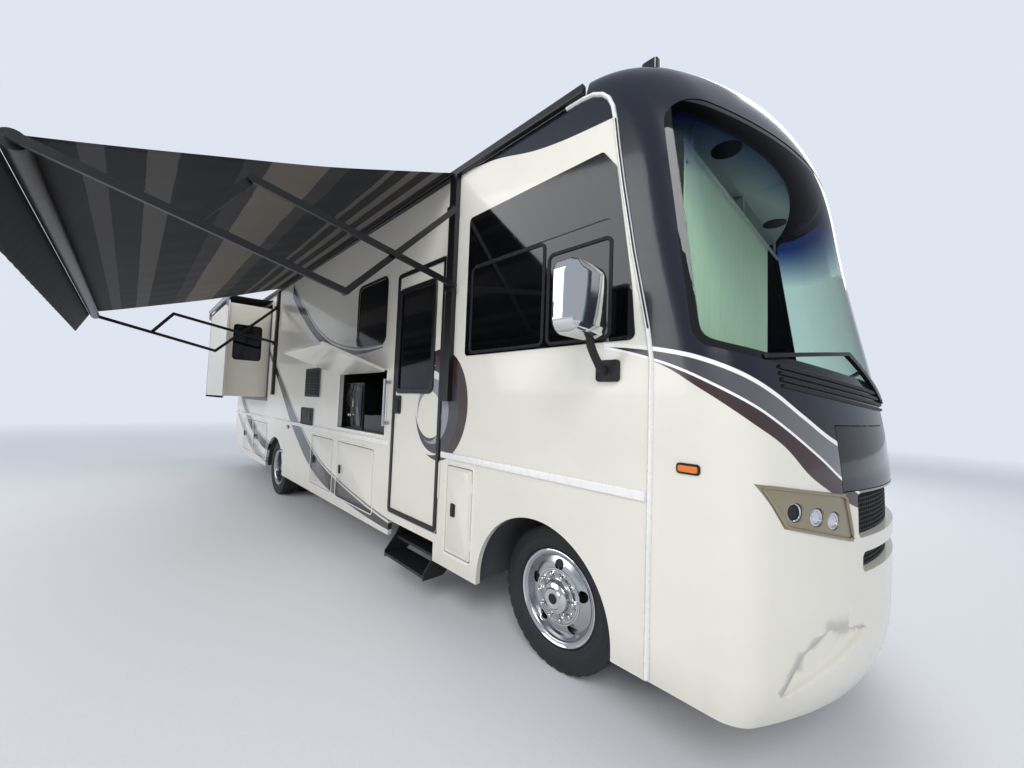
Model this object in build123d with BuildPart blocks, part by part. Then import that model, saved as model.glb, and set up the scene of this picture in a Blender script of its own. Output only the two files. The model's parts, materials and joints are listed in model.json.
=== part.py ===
from build123d import *
from collections import namedtuple
from math import atan2, cos, hypot, pi, radians, sin, sqrt
import os

# A petrol-engined coach-built motorhome, parked with its awning and rear room out, in millimetres.
# Stations run along X from the front axle, forwards positive, and heights run up from the ground.
# The kerb side is at -Y and the street side at +Y.

os.makedirs("parts", exist_ok=True)

# Driving dimensions of the body
wheelbase = 6147
rear_overhang = 3553
half_width = 1275
skirt_bottom = 425
belt_height = 1310
wall_top = 3640
floor_height = 1200
seam_station = 750
nose_station = 1597
wall_thickness = 50
skirt_thickness = 40
cap_thickness = 30
glass_thickness = 8
roof_thickness = 60
roof_rise = 150
floor_thickness = 60
rear_cap_depth = 220
trim_gap = 5
running_gap = 0.3

# Wheels
tyre_radius = 469.5
tyre_width = 248
rim_radius = 286
flange_radius = 305
rim_width = 210
front_track_inset = 220
rear_track_inset = 68
twin_spacing = 330
hub_radius = 105
hub_bore_radius = 45
nut_circle_radius = 143
nut_radius = 15
nut_length = 26
nut_count = 10
hand_hole_radius = 36
hand_hole_circle_radius = 205
hand_hole_count = 5
front_arch_radius = 553
rear_arch_radius = 537
well_clearance = 30
well_thickness = 6
well_inner = 505

# Chassis
rail_spacing = 860
rail_width = 70
rail_height = 240
rail_bottom = 620
rail_front = 1150
rail_rear = -9350
kingpin_offset = 780
kingpin_radius = 22
kingpin_height = 260
axle_eye_height = 110
axle_eye_radius = 52
knuckle_lug_height = 50
spindle_radius = hub_bore_radius - running_gap
axle_tube_radius = 70
differential_radius = 190
receiver_size = 63.5
receiver_bore = 51
receiver_height = 520
receiver_length = 430
hitch_pin_radius = 8
ladder_reach = 110

# Kerb-side doors and windows, as stations and heights
door_rear = -1920
door_front = -1080
door_bottom = 655
door_top = 3000
door_thickness = 40
door_glass_inset = 80
door_glass_bottom = 1850
door_glass_top = 2800
kitchen_rear = -3320
kitchen_front = -2070
kitchen_bottom = 1385
kitchen_top = 2000
kitchen_depth = 520
kitchen_open_angle = 108
slide_rear = -9020
slide_front = -6960
slide_bottom = 1700
slide_top = 3410
slide_out = 685
slide_inner = 1180
slide_wall = 40
slide_clearance = 10
fascia_lip = 40
fascia_thickness = 20
seal_width = 60
seal_proud = 12
step_rear = -1900
step_front = -1120

# Awning, as distances out from the centre line and heights
awning_front = -930
awning_rear = -6470
rail_low = 3640
rail_high = 3700
awning_channel_width = 90
awning_channel_proud = 45
awning_top_pivot = (1330, 3330)
awning_low_pivot = (1330, 2690)
awning_elbow = (2180, 2440)
awning_fold = (2730, 2955)
awning_knee = (2960, 2635)
awning_end = (3550, 2770)
awning_bar = 42
roller_radius = 45
cover_drop = 250
cover_slope = 0.45
cover_thickness = 12
cloth_thickness = 6

# Mirrors
mirror_width = 330
mirror_height = 380
mirror_gap = 100
mirror_station = 500
mirror_low = 2100
mirror_inner = half_width + mirror_gap

rear_station = -(wheelbase + rear_overhang)
rearmost = rear_station - ladder_reach
awning_reach = awning_end[0] + roller_radius + running_gap + cover_drop * cover_slope + cover_thickness
mirror_reach = mirror_inner + mirror_width
centre_station = (nose_station + rearmost) / 2
centre_offset = (mirror_reach - awning_reach) / 2
rear_axle = -wheelbase
front_wheel_centre = half_width - front_track_inset - tyre_width / 2
rear_wheel_centre = half_width - rear_track_inset - tyre_width / 2
rail_top = rail_bottom + rail_height


def side_plane(offset):
    """Upright plane along the coach: local x is the station, local y the height, normal to the kerb."""
    return Plane(origin=(-centre_station, offset - centre_offset, 0), x_dir=(1, 0, 0), z_dir=(0, -1, 0))


def level_plane(height):
    """Level plane: local x is the station, local y the offset to the street side."""
    return Plane(origin=(-centre_station, -centre_offset, height), x_dir=(1, 0, 0), z_dir=(0, 0, 1))


def cross_plane(station):
    """Upright plane across the coach: local x is the offset, local y the height, normal forwards."""
    return Plane(origin=(station - centre_station, -centre_offset, 0), x_dir=(0, 1, 0), z_dir=(1, 0, 0))


def patch(x_low, x_high, y_low, y_high, radius=0, mode=Mode.ADD):
    """A rectangle between named limits in the sketch in hand, with rounded corners if wanted."""
    with Locations(((x_low + x_high) / 2, (y_low + y_high) / 2)):
        if radius:
            RectangleRounded(x_high - x_low, y_high - y_low, radius, mode=mode)
        else:
            Rectangle(x_high - x_low, y_high - y_low, mode=mode)


# Front cap: height, nose station, half width, corner radius and nose crown radius of each plan section
CapSection = namedtuple("CapSection", "height nose half corner crown")
cap_sections = (
    CapSection(400, 1510, half_width - 10, 150, 2300),
    CapSection(700, 1588, half_width, 240, 2150),
    CapSection(1050, nose_station, half_width, 270, 2100),
    CapSection(1450, 1590, half_width, 285, 2100),
    CapSection(1850, 1540, half_width, 315, 2100),
    CapSection(2300, 1454, half_width, 370, 2100),
    CapSection(2800, 1366, half_width, 415, 2100),
    CapSection(3270, 1280, half_width, 430, 2100),
    CapSection(3500, 1185, half_width, 425, 2050),
    CapSection(3660, 1080, half_width - 12, 415, 1950),
    CapSection(3760, 940, half_width - 48, 400, 1800),
    CapSection(3828, 660, half_width - 190, 380, 1550),
)
cap_back = -200
brow_height = 3270


def cap_form(inset, sections=cap_sections, slope=0, foot=0):
    """Solid of the cap's plan sections, drawn in by inset, and by more with each height above the foot."""
    with BuildPart() as form:
        for section in sections:
            drop = inset * min(1, max(0, (section.height - brow_height) / (wall_top - brow_height)))
            depth = inset + slope * (section.height - foot)
            half = section.half - depth
            corner = section.corner - depth
            crown = section.crown - depth
            crown_x = section.nose - section.crown
            corner_x = crown_x + sqrt((crown - corner) ** 2 - (half - corner) ** 2)
            meet = atan2(half - corner, corner_x - crown_x)
            middle = (meet + pi / 2) / 2
            side_end = (corner_x, half)
            mid = (corner_x + corner * cos(middle), half - corner + corner * sin(middle))
            nose_end = (crown_x + crown * cos(meet), crown * sin(meet))
            with BuildSketch(level_plane(section.height - drop)):
                with BuildLine():
                    Line((cap_back, half), side_end)
                    ThreePointArc(side_end, mid, nose_end)
                    ThreePointArc(nose_end, (crown_x + crown, 0), (nose_end[0], -nose_end[1]))
                    ThreePointArc((nose_end[0], -nose_end[1]), (mid[0], -mid[1]), (corner_x, -half))
                    Line((corner_x, -half), (cap_back, -half))
                    Line((cap_back, -half), (cap_back, half))
                make_face()
        loft()
    return form.part


# The seam between the cap and the walls, from the bottom up, and its rounded top corner
seam_line = ((seam_station, 0), (seam_station, 2050), (640, 2580), (505, 3420))
seam_corner = (440, 3550)
seam_top = (300, wall_top)


def seam_outline(back, low, high):
    """Closed outline of all that lies behind the seam, between two heights."""
    front_points = [(x, z) for x, z in seam_line if z > low]
    Polyline((seam_station, low), *front_points)
    ThreePointArc(seam_line[-1], seam_corner, seam_top)
    top_points = [(seam_top[0], high)] if high > seam_top[1] else []
    Polyline(seam_top, *top_points, (back, high), (back, low), (seam_station, low))


# Windshield outline in side view: lower rear, upper rear, upper front, lower front
windshield_points = ((945, 2072), (752, 3440), (1400, 3200), (1700, 1846))
windshield_radius = 120
hood_half = 770
hood_low = 1400
hood_high = 1700
grille_half = 660
grille_low = 1175
grille_high = 1385
intake_low = 1010
intake_high = 1105
lamp_outline = ((1215, 1445), (755, 1388), (700, 1165), (1110, 1255))
lamp_radius = 42
lamp_centres = ((1056, 1322), (945, 1296), (845, 1274))

cap_outer = cap_form(0)
cap_glass_outer = cap_form(3)
cap_glass_inner = cap_form(3 + glass_thickness)
cap_inner = cap_form(cap_thickness)
cap_mask_front = nose_station + 200


def windshield_prism(edge):
    """Solid across the coach that cuts the windshield out of the cap, drawn in by edge."""
    with BuildPart() as prism:
        with BuildSketch(side_plane(0)) as outline:
            with BuildLine():
                Polyline(*windshield_points, close=True)
            make_face()
            fillet(outline.vertices().sort_by(Axis.X)[:2], windshield_radius)
            if edge:
                offset(amount=-edge, mode=Mode.REPLACE)
        extrude(amount=half_width + 100, both=True)
    return prism.part


def front_prism(points, edge):
    """Solid along the coach through the cap's front, from an outline given on one side, on both sides."""
    with BuildPart() as prism:
        for side in (-1, 1):
            with BuildSketch(cross_plane(cap_mask_front)) as outline:
                with BuildLine():
                    Polyline(*[(side * y, z) for y, z in points], close=True)
                make_face()
                if edge:
                    offset(amount=-edge, mode=Mode.REPLACE)
            extrude(amount=-900)
    return prism.part


shoulder_in = 90
shoulder_up = 115


def roof_profile(inset, low):
    """Closed cross profile of the body's top, drawn in by inset, down to a height."""
    edge = half_width - inset
    shoulder = (edge - shoulder_in, wall_top + shoulder_up - inset)
    bend = (edge - shoulder_in / 3, wall_top + (shoulder_up - inset) * 0.6)
    if low < wall_top:
        Polyline((-edge, wall_top), (-edge, low), (edge, low), (edge, wall_top))
    else:
        Line((-edge, wall_top), (edge, wall_top))
    ThreePointArc((edge, wall_top), bend, shoulder)
    ThreePointArc(shoulder, (0, wall_top + roof_rise - inset), (-shoulder[0], shoulder[1]))
    ThreePointArc((-shoulder[0], shoulder[1]), (-bend[0], bend[1]), (-edge, wall_top))


# Openings of the nose in front view, their moulded returns, and the scoops in the bumper's corners
intake_half = grille_half - 40
nose_radius = 30
nose_return = 55
flange_width = 16
grille_depth = 38
grille_thickness = 10
scoop_outline = ((1119, 549), (1027, 708), (867, 803), (567, 754), (840, 655))
scoop_slope = 0.075
scoop_foot = 560
brow_web_thickness = 12


def nose_openings(margin):
    """Outlines of the grille and the intake in the sketch in hand, grown by a margin."""
    patch(-grille_half - margin, grille_half + margin, grille_low - margin, grille_high + margin,
          nose_radius + margin)
    patch(-intake_half - margin, intake_half + margin, intake_low - margin, intake_high + margin,
          nose_radius + margin)


with BuildPart() as nose_flanges:
    add(cap_outer)
    add(cap_form(nose_return), mode=Mode.SUBTRACT)
    with BuildSketch(cross_plane(cap_mask_front)):
        nose_openings(flange_width)
    extrude(amount=-700, mode=Mode.INTERSECT)
with BuildPart() as scoop_cut:
    add(front_prism(scoop_outline, 0))
    add(cap_form(0, cap_sections[:4], scoop_slope, scoop_foot), mode=Mode.SUBTRACT)
with BuildPart() as brow_web:
    with BuildSketch(cross_plane(seam_top[0])):
        patch(-half_width, half_width, wall_top, wall_top + 400)
        with BuildLine():
            roof_profile(roof_thickness / 2, wall_top)
        make_face(mode=Mode.SUBTRACT)
    extrude(amount=brow_web_thickness)
    add(cap_outer, mode=Mode.INTERSECT)

with BuildPart() as front_cap:
    add(cap_outer)
    add(cap_inner, mode=Mode.SUBTRACT)
    add(nose_flanges.part)
    add(brow_web.part)
    with BuildSketch(side_plane(0)):
        with BuildLine():
            seam_outline(cap_back - 200, skirt_bottom - 200, wall_top + 400)
        make_face()
    extrude(amount=half_width + 100, both=True, mode=Mode.SUBTRACT)
    with BuildSketch(level_plane(skirt_bottom)):
        patch(0, cap_mask_front, -half_width - 50, half_width + 50)
    extrude(amount=-200, mode=Mode.SUBTRACT)
    add(windshield_prism(0), mode=Mode.SUBTRACT)
    add(front_prism(lamp_outline, 0), mode=Mode.SUBTRACT)
    with BuildSketch(cross_plane(cap_mask_front)):
        patch(-hood_half - trim_gap, hood_half + trim_gap, hood_low - trim_gap, hood_high + trim_gap)
        nose_openings(0)
    extrude(amount=-700, mode=Mode.SUBTRACT)
    add(scoop_cut.part, mode=Mode.SUBTRACT)
front_cap.part.label = "front_cap"
export_step(front_cap.part, "parts/front_cap.step")

with BuildPart() as windshield:
    add(cap_glass_outer)
    add(cap_glass_inner, mode=Mode.SUBTRACT)
    add(windshield_prism(0), mode=Mode.INTERSECT)
windshield.part.label = "windshield"
export_step(windshield.part, "parts/windshield.step")

tab_thickness = 8
tab_reach = 25
tab_outline = ((300, hood_high - 2 * tab_reach), (420, hood_high - 2 * tab_reach),
               (420, hood_high + tab_reach), (300, hood_high + tab_reach))
with BuildPart() as hood_tab_form:
    add(cap_form(glass_thickness - 1))
    with BuildSketch(cross_plane(cap_mask_front)):
        patch(-half_width, half_width, hood_high - 5, hood_high + 2 * tab_reach)
    extrude(amount=-900, mode=Mode.SUBTRACT)
    add(cap_form(cap_thickness + running_gap))
    add(cap_form(cap_thickness + tab_thickness), mode=Mode.SUBTRACT)
    add(front_prism(tab_outline, 0), mode=Mode.INTERSECT)
hood_tabs = hood_tab_form.part
with BuildPart() as hood:
    add(cap_outer)
    add(cap_glass_inner, mode=Mode.SUBTRACT)
    with BuildSketch(cross_plane(cap_mask_front)):
        patch(-hood_half, hood_half, hood_low, hood_high)
    extrude(amount=-900, mode=Mode.INTERSECT)
    add(hood_tabs)
hood.part.label = "hood"
export_step(hood.part, "parts/hood.step")

with BuildPart() as headlamp_bezels:
    add(cap_outer)
    add(cap_inner, mode=Mode.SUBTRACT)
    add(front_prism(lamp_outline, 0), mode=Mode.INTERSECT)
    for side in (-1, 1):
        with BuildSketch(cross_plane(cap_mask_front)):
            with Locations(*[(side * y, z) for y, z in lamp_centres]):
                Circle(lamp_radius)
        extrude(amount=-900, mode=Mode.SUBTRACT)
headlamp_bezels.part.label = "headlamp_bezels"
export_step(headlamp_bezels.part, "parts/headlamp_bezels.step")

with BuildPart() as headlamps:
    add(cap_glass_inner)
    add(cap_inner, mode=Mode.SUBTRACT)
    with BuildSketch(cross_plane(cap_mask_front)):
        for side in (-1, 1):
            with Locations(*[(side * y, z) for y, z in lamp_centres]):
                Circle(lamp_radius)
    extrude(amount=-900, mode=Mode.INTERSECT)
headlamps.part.label = "headlamps"
export_step(headlamps.part, "parts/headlamps.step")

with BuildPart() as grille:
    add(cap_form(grille_depth))
    add(cap_form(grille_depth + grille_thickness), mode=Mode.SUBTRACT)
    with BuildSketch(cross_plane(cap_mask_front)):
        nose_openings(-running_gap)
    extrude(amount=-900, mode=Mode.INTERSECT)
grille.part.label = "grille"
export_step(grille.part, "parts/grille.step")

# Body shell behind the cap
rear_wall_station = rear_station + rear_cap_depth
departure_station = -9085
departure_height = 760
departure_slope = (departure_height - skirt_bottom) / (departure_station - rear_station)
door_gap = 8
hinge_radius = 7
bay_door_thickness = 30
window_radius = 60
step_notch_top = 575
cab_window = (-750, 520, 2120, 2820)
cab_panel_points = ((-790, 2112), (660, 2112), (635, 2400), (528, 3105), (440, 3225), (-790, 3225))
cab_panel_proud = 5
galley_window = (-2850, -2170, 2360, 3030)
street_windows = ((-2900, -1700, 2150, 2950), (-6300, -5500, 2350, 2950), (-8900, -8000, 2350, 2950))
frame_width = 28
frame_proud = 8
pane_thickness = 6

BayDoor = namedtuple("BayDoor", "rear front low high")
kerb_bays = (
    BayDoor(-950, -640, 556, 1230),
    BayDoor(-3265, -2290, 556, floor_height),
    BayDoor(-4220, -3440, 556, floor_height),
    BayDoor(-7790, -6750, 556, floor_height),
    BayDoor(-8740, -7970, 556, floor_height),
)
street_bays = (
    BayDoor(-3200, -2100, 556, floor_height),
    BayDoor(-8600, -7400, 556, floor_height),
)
hatch_rear = kitchen_rear
hatch_front = kitchen_front
hatch_low = kitchen_bottom
hatch_high = kitchen_top + 40


def wall_with_openings(side, openings):
    """Upper side wall on one side, cut by the openings given as rear, front, low, high and corner radius."""
    with BuildPart() as wall:
        with BuildSketch(side_plane(side * half_width)):
            with BuildLine():
                seam_outline(rear_wall_station, belt_height, wall_top)
            make_face()
            for rear, front, low, high, radius in openings:
                patch(rear, front, low, high, radius, mode=Mode.SUBTRACT)
        extrude(amount=side * wall_thickness)
    return wall.part


def skirt_with_openings(side, bays):
    """Lower skirt on one side, with its wheel arches and bay door openings."""
    with BuildPart() as skirt:
        with BuildSketch(side_plane(side * half_width)):
            with BuildLine():
                low_at_rear = skirt_bottom + departure_slope * (departure_station - rear_wall_station)
                Polyline(
                    (seam_station, skirt_bottom),
                    (seam_station, belt_height),
                    (rear_wall_station, belt_height),
                    (rear_wall_station, low_at_rear),
                    (departure_station, skirt_bottom),
                    close=True,
                )
            make_face()
            for station, radius in ((0, front_arch_radius), (rear_axle, rear_arch_radius)):
                with Locations((station, tyre_radius)):
                    Circle(radius, mode=Mode.SUBTRACT)
                patch(station - radius, station + radius, 0, tyre_radius, mode=Mode.SUBTRACT)
            for bay in bays:
                patch(bay.rear - door_gap, bay.front + door_gap, bay.low - door_gap, bay.high + door_gap,
                      mode=Mode.SUBTRACT)
            if side < 0:
                patch(door_rear - door_gap, door_front + door_gap, door_bottom - door_gap, belt_height + 10,
                      mode=Mode.SUBTRACT)
                patch(step_rear, step_front, 0, step_notch_top, mode=Mode.SUBTRACT)
        extrude(amount=side * skirt_thickness)
    return skirt.part


kerb_openings = (
    (door_rear - door_gap, door_front + door_gap, belt_height - 100, door_top + door_gap, 60),
    (*cab_window, window_radius),
    (*galley_window, window_radius),
    (hatch_rear - door_gap, hatch_front + door_gap, hatch_low - door_gap, hatch_high + door_gap, 0),
    (slide_rear - slide_clearance, slide_front + slide_clearance, slide_bottom - slide_clearance,
     slide_top + slide_clearance, 0),
)
street_openings = ((*cab_window, window_radius), *[(*window, window_radius) for window in street_windows])

side_wall_kerb = wall_with_openings(-1, kerb_openings)
side_wall_kerb.label = "side_wall_kerb"
export_step(side_wall_kerb, "parts/side_wall_kerb.step")

side_wall_street = wall_with_openings(1, street_openings)
side_wall_street.label = "side_wall_street"
export_step(side_wall_street, "parts/side_wall_street.step")

skirt_kerb = skirt_with_openings(-1, kerb_bays)
skirt_kerb.label = "skirt_kerb"
export_step(skirt_kerb, "parts/skirt_kerb.step")

skirt_street = skirt_with_openings(1, street_bays)
skirt_street.label = "skirt_street"
export_step(skirt_street, "parts/skirt_street.step")

# Roof sheet, with rounded shoulders and a slight crown, the dropped cab ceiling and its curtain rod
ceiling_height = 3350
ceiling_thickness = 30
ceiling_rear = -700
ceiling_front = 1080
ceiling_corner = 800
ceiling_half = 1120
curtain_station = 830
rod_height = 3200
rod_radius = 12


with BuildPart() as roof:
    with BuildSketch(cross_plane(rear_wall_station)):
        with BuildLine():
            roof_profile(0, wall_top)
        make_face()
        with BuildLine():
            roof_profile(roof_thickness, wall_top)
        make_face(mode=Mode.SUBTRACT)
    extrude(amount=seam_top[0] - rear_wall_station)
    with BuildSketch(level_plane(ceiling_height)):
        with BuildLine():
            Line((ceiling_rear, -ceiling_half), (ceiling_corner, -ceiling_half))
            ThreePointArc((ceiling_corner, -ceiling_half), (ceiling_front, 0), (ceiling_corner, ceiling_half))
            Line((ceiling_corner, ceiling_half), (ceiling_rear, ceiling_half))
            Line((ceiling_rear, ceiling_half), (ceiling_rear, -ceiling_half))
        make_face()
    extrude(amount=ceiling_thickness)
    with BuildSketch(level_plane(ceiling_height + ceiling_thickness)):
        patch(ceiling_rear + 60, ceiling_rear + 100, -ceiling_half + 60, ceiling_half - 60)
        patch(seam_top[0] - 60, seam_top[0] - 20, -ceiling_half + 60, ceiling_half - 60)
    extrude(amount=wall_top + shoulder_up - 10 - ceiling_height - ceiling_thickness)
    with BuildSketch(side_plane(-ceiling_half)):
        with Locations((curtain_station, rod_height)):
            Circle(rod_radius)
    extrude(amount=-2 * ceiling_half)
    for offset_out in (-ceiling_half + 120, 0, ceiling_half - 120):
        with BuildSketch(level_plane(rod_height)):
            with Locations((curtain_station, offset_out)):
                Circle(rod_radius * 0.7)
        extrude(amount=ceiling_height - rod_height)
roof.part.label = "roof"
export_step(roof.part, "parts/roof.step")

with BuildPart() as rear_cap:
    with BuildSketch(cross_plane(rear_station)):
        with BuildLine():
            roof_profile(0, skirt_bottom)
        make_face()
    extrude(amount=rear_cap_depth)
    back_edges = rear_cap.faces().sort_by(Axis.X)[0].edges().sort_by(Axis.Z)[1:]
    fillet(back_edges, 55)
    with BuildSketch(cross_plane(rear_station + wall_thickness)):
        with BuildLine():
            roof_profile(wall_thickness, skirt_bottom - 100)
        make_face()
    extrude(amount=rear_cap_depth, mode=Mode.SUBTRACT)
    with BuildSketch(side_plane(0)):
        with BuildLine():
            Polyline(
                (departure_station, skirt_bottom),
                (rear_station, departure_height),
                (rear_station - 300, departure_height),
                (rear_station - 300, 0),
                (departure_station, 0),
                close=True,
            )
        make_face()
    extrude(amount=half_width + 100, both=True, mode=Mode.SUBTRACT)
rear_cap.part.label = "rear_cap"
export_step(rear_cap.part, "parts/rear_cap.step")

# Cabin floor, with the entry stairs and the legs and runners that carry the slide-out room
stair_depth = 490
stair_sheet = 12
runner_width = 60
runner_height = 70
runner_reach = 700
cabin_side = half_width - wall_thickness
with BuildPart() as floor:
    with BuildSketch(level_plane(floor_height)):
        patch(rear_wall_station, seam_station - 60, -cabin_side, cabin_side)
        patch(step_rear - running_gap, step_front + running_gap, -half_width,
              -cabin_side + stair_depth + running_gap, mode=Mode.SUBTRACT)
    extrude(amount=-floor_thickness)
    tread = stair_depth / 2
    rise = (floor_height - door_bottom) / 2
    with BuildSketch(cross_plane(step_rear)):
        with BuildLine():
            Polyline(
                (-cabin_side, door_bottom),
                (-cabin_side + tread, door_bottom),
                (-cabin_side + tread, door_bottom + rise),
                (-cabin_side + stair_depth, door_bottom + rise),
                (-cabin_side + stair_depth, floor_height),
                (-cabin_side + stair_depth - stair_sheet, floor_height),
                (-cabin_side + stair_depth - stair_sheet, door_bottom + rise + stair_sheet),
                (-cabin_side + tread - stair_sheet, door_bottom + rise + stair_sheet),
                (-cabin_side + tread - stair_sheet, door_bottom + stair_sheet),
                (-cabin_side, door_bottom + stair_sheet),
                close=True,
            )
        make_face()
    extrude(amount=step_front - step_rear)
    for station in (slide_rear + 300, slide_front - 300):
        with BuildSketch(cross_plane(station)):
            patch(-cabin_side, -cabin_side + runner_reach, slide_bottom - running_gap - runner_height,
                  slide_bottom - running_gap)
            for leg in (-cabin_side + 60, -cabin_side + runner_reach - 140):
                patch(leg, leg + 80, floor_height, slide_bottom - running_gap)
        extrude(amount=runner_width)
floor.part.label = "floor"
export_step(floor.part, "parts/floor.step")

# Wheel wells behind the skirts, and open-fronted storage bins hung beside the frame rails
bay_sheet = 12
bay_inner = 480
skirt_inside = half_width - skirt_thickness
with BuildPart() as wells_and_bins:
    for side, bays in ((-1, kerb_bays), (1, street_bays)):
        for station, arch_radius in ((0, front_arch_radius), (rear_axle, rear_arch_radius)):
            well_radius = arch_radius + well_clearance
            with BuildSketch(side_plane(side * skirt_inside)):
                with Locations((station, tyre_radius)):
                    Circle(well_radius + well_thickness)
                    Circle(well_radius, mode=Mode.SUBTRACT)
                patch(station - 2 * well_radius, station + 2 * well_radius, -2 * well_radius, skirt_bottom,
                      mode=Mode.SUBTRACT)
            extrude(amount=side * (skirt_inside - well_inner))
        for bay in bays:
            depth = skirt_inside - bay_inner
            rear, front = bay.rear - door_gap, bay.front + door_gap
            low, high = bay.low - door_gap, floor_height - floor_thickness
            with BuildSketch(side_plane(side * skirt_inside)):
                patch(rear - bay_sheet, front + bay_sheet, low - bay_sheet, high)
            extrude(amount=side * depth)
            with BuildSketch(side_plane(side * skirt_inside)):
                patch(rear, front, low, high - bay_sheet)
            extrude(amount=side * (depth - bay_sheet), mode=Mode.SUBTRACT)
wells_and_bins.part.label = "wells_and_bins"
export_step(wells_and_bins.part, "parts/wells_and_bins.step")

# Outside kitchen behind its hatch
with BuildPart() as kitchen_bay:
    kitchen_face = -half_width + wall_thickness
    with BuildSketch(side_plane(kitchen_face)):
        patch(hatch_rear - door_gap - bay_sheet, hatch_front + door_gap + bay_sheet,
              hatch_low - door_gap - bay_sheet, hatch_high + door_gap + bay_sheet)
    extrude(amount=-kitchen_depth)
    with BuildSketch(side_plane(kitchen_face)):
        patch(hatch_rear - door_gap, hatch_front + door_gap, hatch_low - door_gap, hatch_high + door_gap)
    extrude(amount=-(kitchen_depth - bay_sheet), mode=Mode.SUBTRACT)
    unit_face = kitchen_face + 30
    unit_low = hatch_low - door_gap
    with BuildSketch(side_plane(unit_face)):
        patch(hatch_rear + 20, hatch_rear + 540, unit_low, hatch_high - 110)
        patch(hatch_rear + 580, hatch_front - 20, unit_low, unit_low + 180)
    extrude(amount=-(kitchen_depth - bay_sheet - 30))
kitchen_bay.part.label = "kitchen_bay"
export_step(kitchen_bay.part, "parts/kitchen_bay.step")


# Raised window frames, the dark panels round the cab windows and the seal round the slide-out opening
with BuildPart() as window_frames:
    for side, windows in ((-1, (galley_window,)), (1, street_windows)):
        with BuildSketch(side_plane(side * half_width)):
            for rear, front, low, high in windows:
                patch(rear - frame_width, front + frame_width, low - frame_width, high + frame_width,
                      window_radius + frame_width)
                patch(rear, front, low, high, window_radius, mode=Mode.SUBTRACT)
        extrude(amount=-side * frame_proud)
        with BuildSketch(side_plane(side * half_width)) as panel:
            with BuildLine():
                Polyline(*cab_panel_points, close=True)
            make_face()
            fillet(panel.vertices(), 35)
            patch(*cab_window, window_radius, mode=Mode.SUBTRACT)
        extrude(amount=-side * cab_panel_proud)
    with BuildSketch(side_plane(-half_width)):
        reach = slide_clearance + seal_width
        patch(slide_rear - reach, slide_front + reach, slide_bottom - reach, slide_top + reach, 20)
        patch(slide_rear - slide_clearance, slide_front + slide_clearance, slide_bottom - slide_clearance,
              slide_top + slide_clearance, mode=Mode.SUBTRACT)
    extrude(amount=seal_proud)
window_frames.part.label = "window_frames"
export_step(window_frames.part, "parts/window_frames.step")

with BuildPart() as side_glass:
    for side, windows in ((-1, (cab_window, galley_window)), (1, (cab_window, *street_windows))):
        with BuildSketch(side_plane(side * (half_width - 2))):
            for window in windows:
                patch(*window, window_radius)
        extrude(amount=side * pane_thickness)
side_glass.part.label = "side_glass"
export_step(side_glass.part, "parts/side_glass.step")

# Entry door, hinged at its front edge
leaf_thickness = 3
leaf_reach = 30
pin_gap = 15
hinge_offset = half_width + hinge_radius + running_gap


def hinged_door(side, rear, front, low, high, thickness, corner, glass):
    """A side door with its hinge barrels along the front edge, and a glazed opening if one is given."""
    with BuildPart() as door:
        with BuildSketch(side_plane(side * half_width)):
            patch(rear, front, low, high, corner)
            if glass:
                patch(*glass, 40, mode=Mode.SUBTRACT)
        extrude(amount=side * thickness)
        knuckle = (high - low) / 8
        face = side * half_width
        for knuckle_low in (low + knuckle, high - 2 * knuckle):
            with BuildSketch(level_plane(knuckle_low)):
                with Locations((front + pin_gap, side * hinge_offset)):
                    Circle(hinge_radius)
                patch(front - leaf_reach, front, *sorted((face,
                                                          face + side * (running_gap + leaf_thickness))))
                patch(front, front + pin_gap,
                      *sorted((face + side * running_gap, face + side * (running_gap + leaf_thickness))))
            extrude(amount=knuckle)
    return door.part


door_glass = (door_rear + door_glass_inset, -1250, door_glass_bottom, door_glass_top)
entry_door = hinged_door(-1, door_rear, door_front, door_bottom, door_top, door_thickness, 45, door_glass)
entry_door.label = "entry_door"
export_step(entry_door, "parts/entry_door.step")

with BuildPart() as entry_door_glass:
    with BuildSketch(side_plane(-half_width + 4)):
        patch(*door_glass, 40)
    extrude(amount=-pane_thickness)
entry_door_glass.part.label = "entry_door_glass"
export_step(entry_door_glass.part, "parts/entry_door_glass.step")

for side, side_name, bays in ((-1, "kerb", kerb_bays), (1, "street", street_bays)):
    for number, bay in enumerate(bays, 1):
        bay_door = hinged_door(side, *bay, bay_door_thickness, 18, None)
        bay_door.label = f"bay_door_{side_name}_{number}"
        export_step(bay_door, f"parts/bay_door_{side_name}_{number}.step")

# Kitchen hatch, held open at its upper stop
hatch_tilt = radians(kitchen_open_angle)
hatch_normal = (0, -cos(hatch_tilt), sin(hatch_tilt))
hatch_hinge = (-hinge_offset, hatch_high + pin_gap)
hatch_plane = Plane(
    origin=(-centre_station, hatch_hinge[0] - centre_offset, hatch_hinge[1]),
    x_dir=(1, 0, 0),
    z_dir=hatch_normal,
)
hatch_length = hatch_high - hatch_low
with BuildPart() as kitchen_hatch:
    with BuildSketch(hatch_plane.offset(-hinge_radius - running_gap)):
        patch(hatch_rear, hatch_front, -pin_gap - hatch_length, -pin_gap, 18)
    extrude(amount=-bay_door_thickness)
    with BuildSketch(cross_plane(hatch_rear + 60)):
        with Locations(hatch_hinge):
            Circle(hinge_radius)
    extrude(amount=hatch_front - hatch_rear - 120)
    with BuildSketch(hatch_plane.offset(-hinge_radius - running_gap)):
        patch(hatch_rear + 60, hatch_front - 60, -pin_gap - leaf_reach, -pin_gap)
    extrude(amount=running_gap + leaf_thickness)
    with BuildSketch(hatch_plane.offset(-hinge_radius)):
        patch(hatch_rear + 60, hatch_front - 60, -pin_gap, 0)
    extrude(amount=leaf_thickness)
kitchen_hatch.part.label = "kitchen_hatch"
export_step(kitchen_hatch.part, "parts/kitchen_hatch.step")

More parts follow.
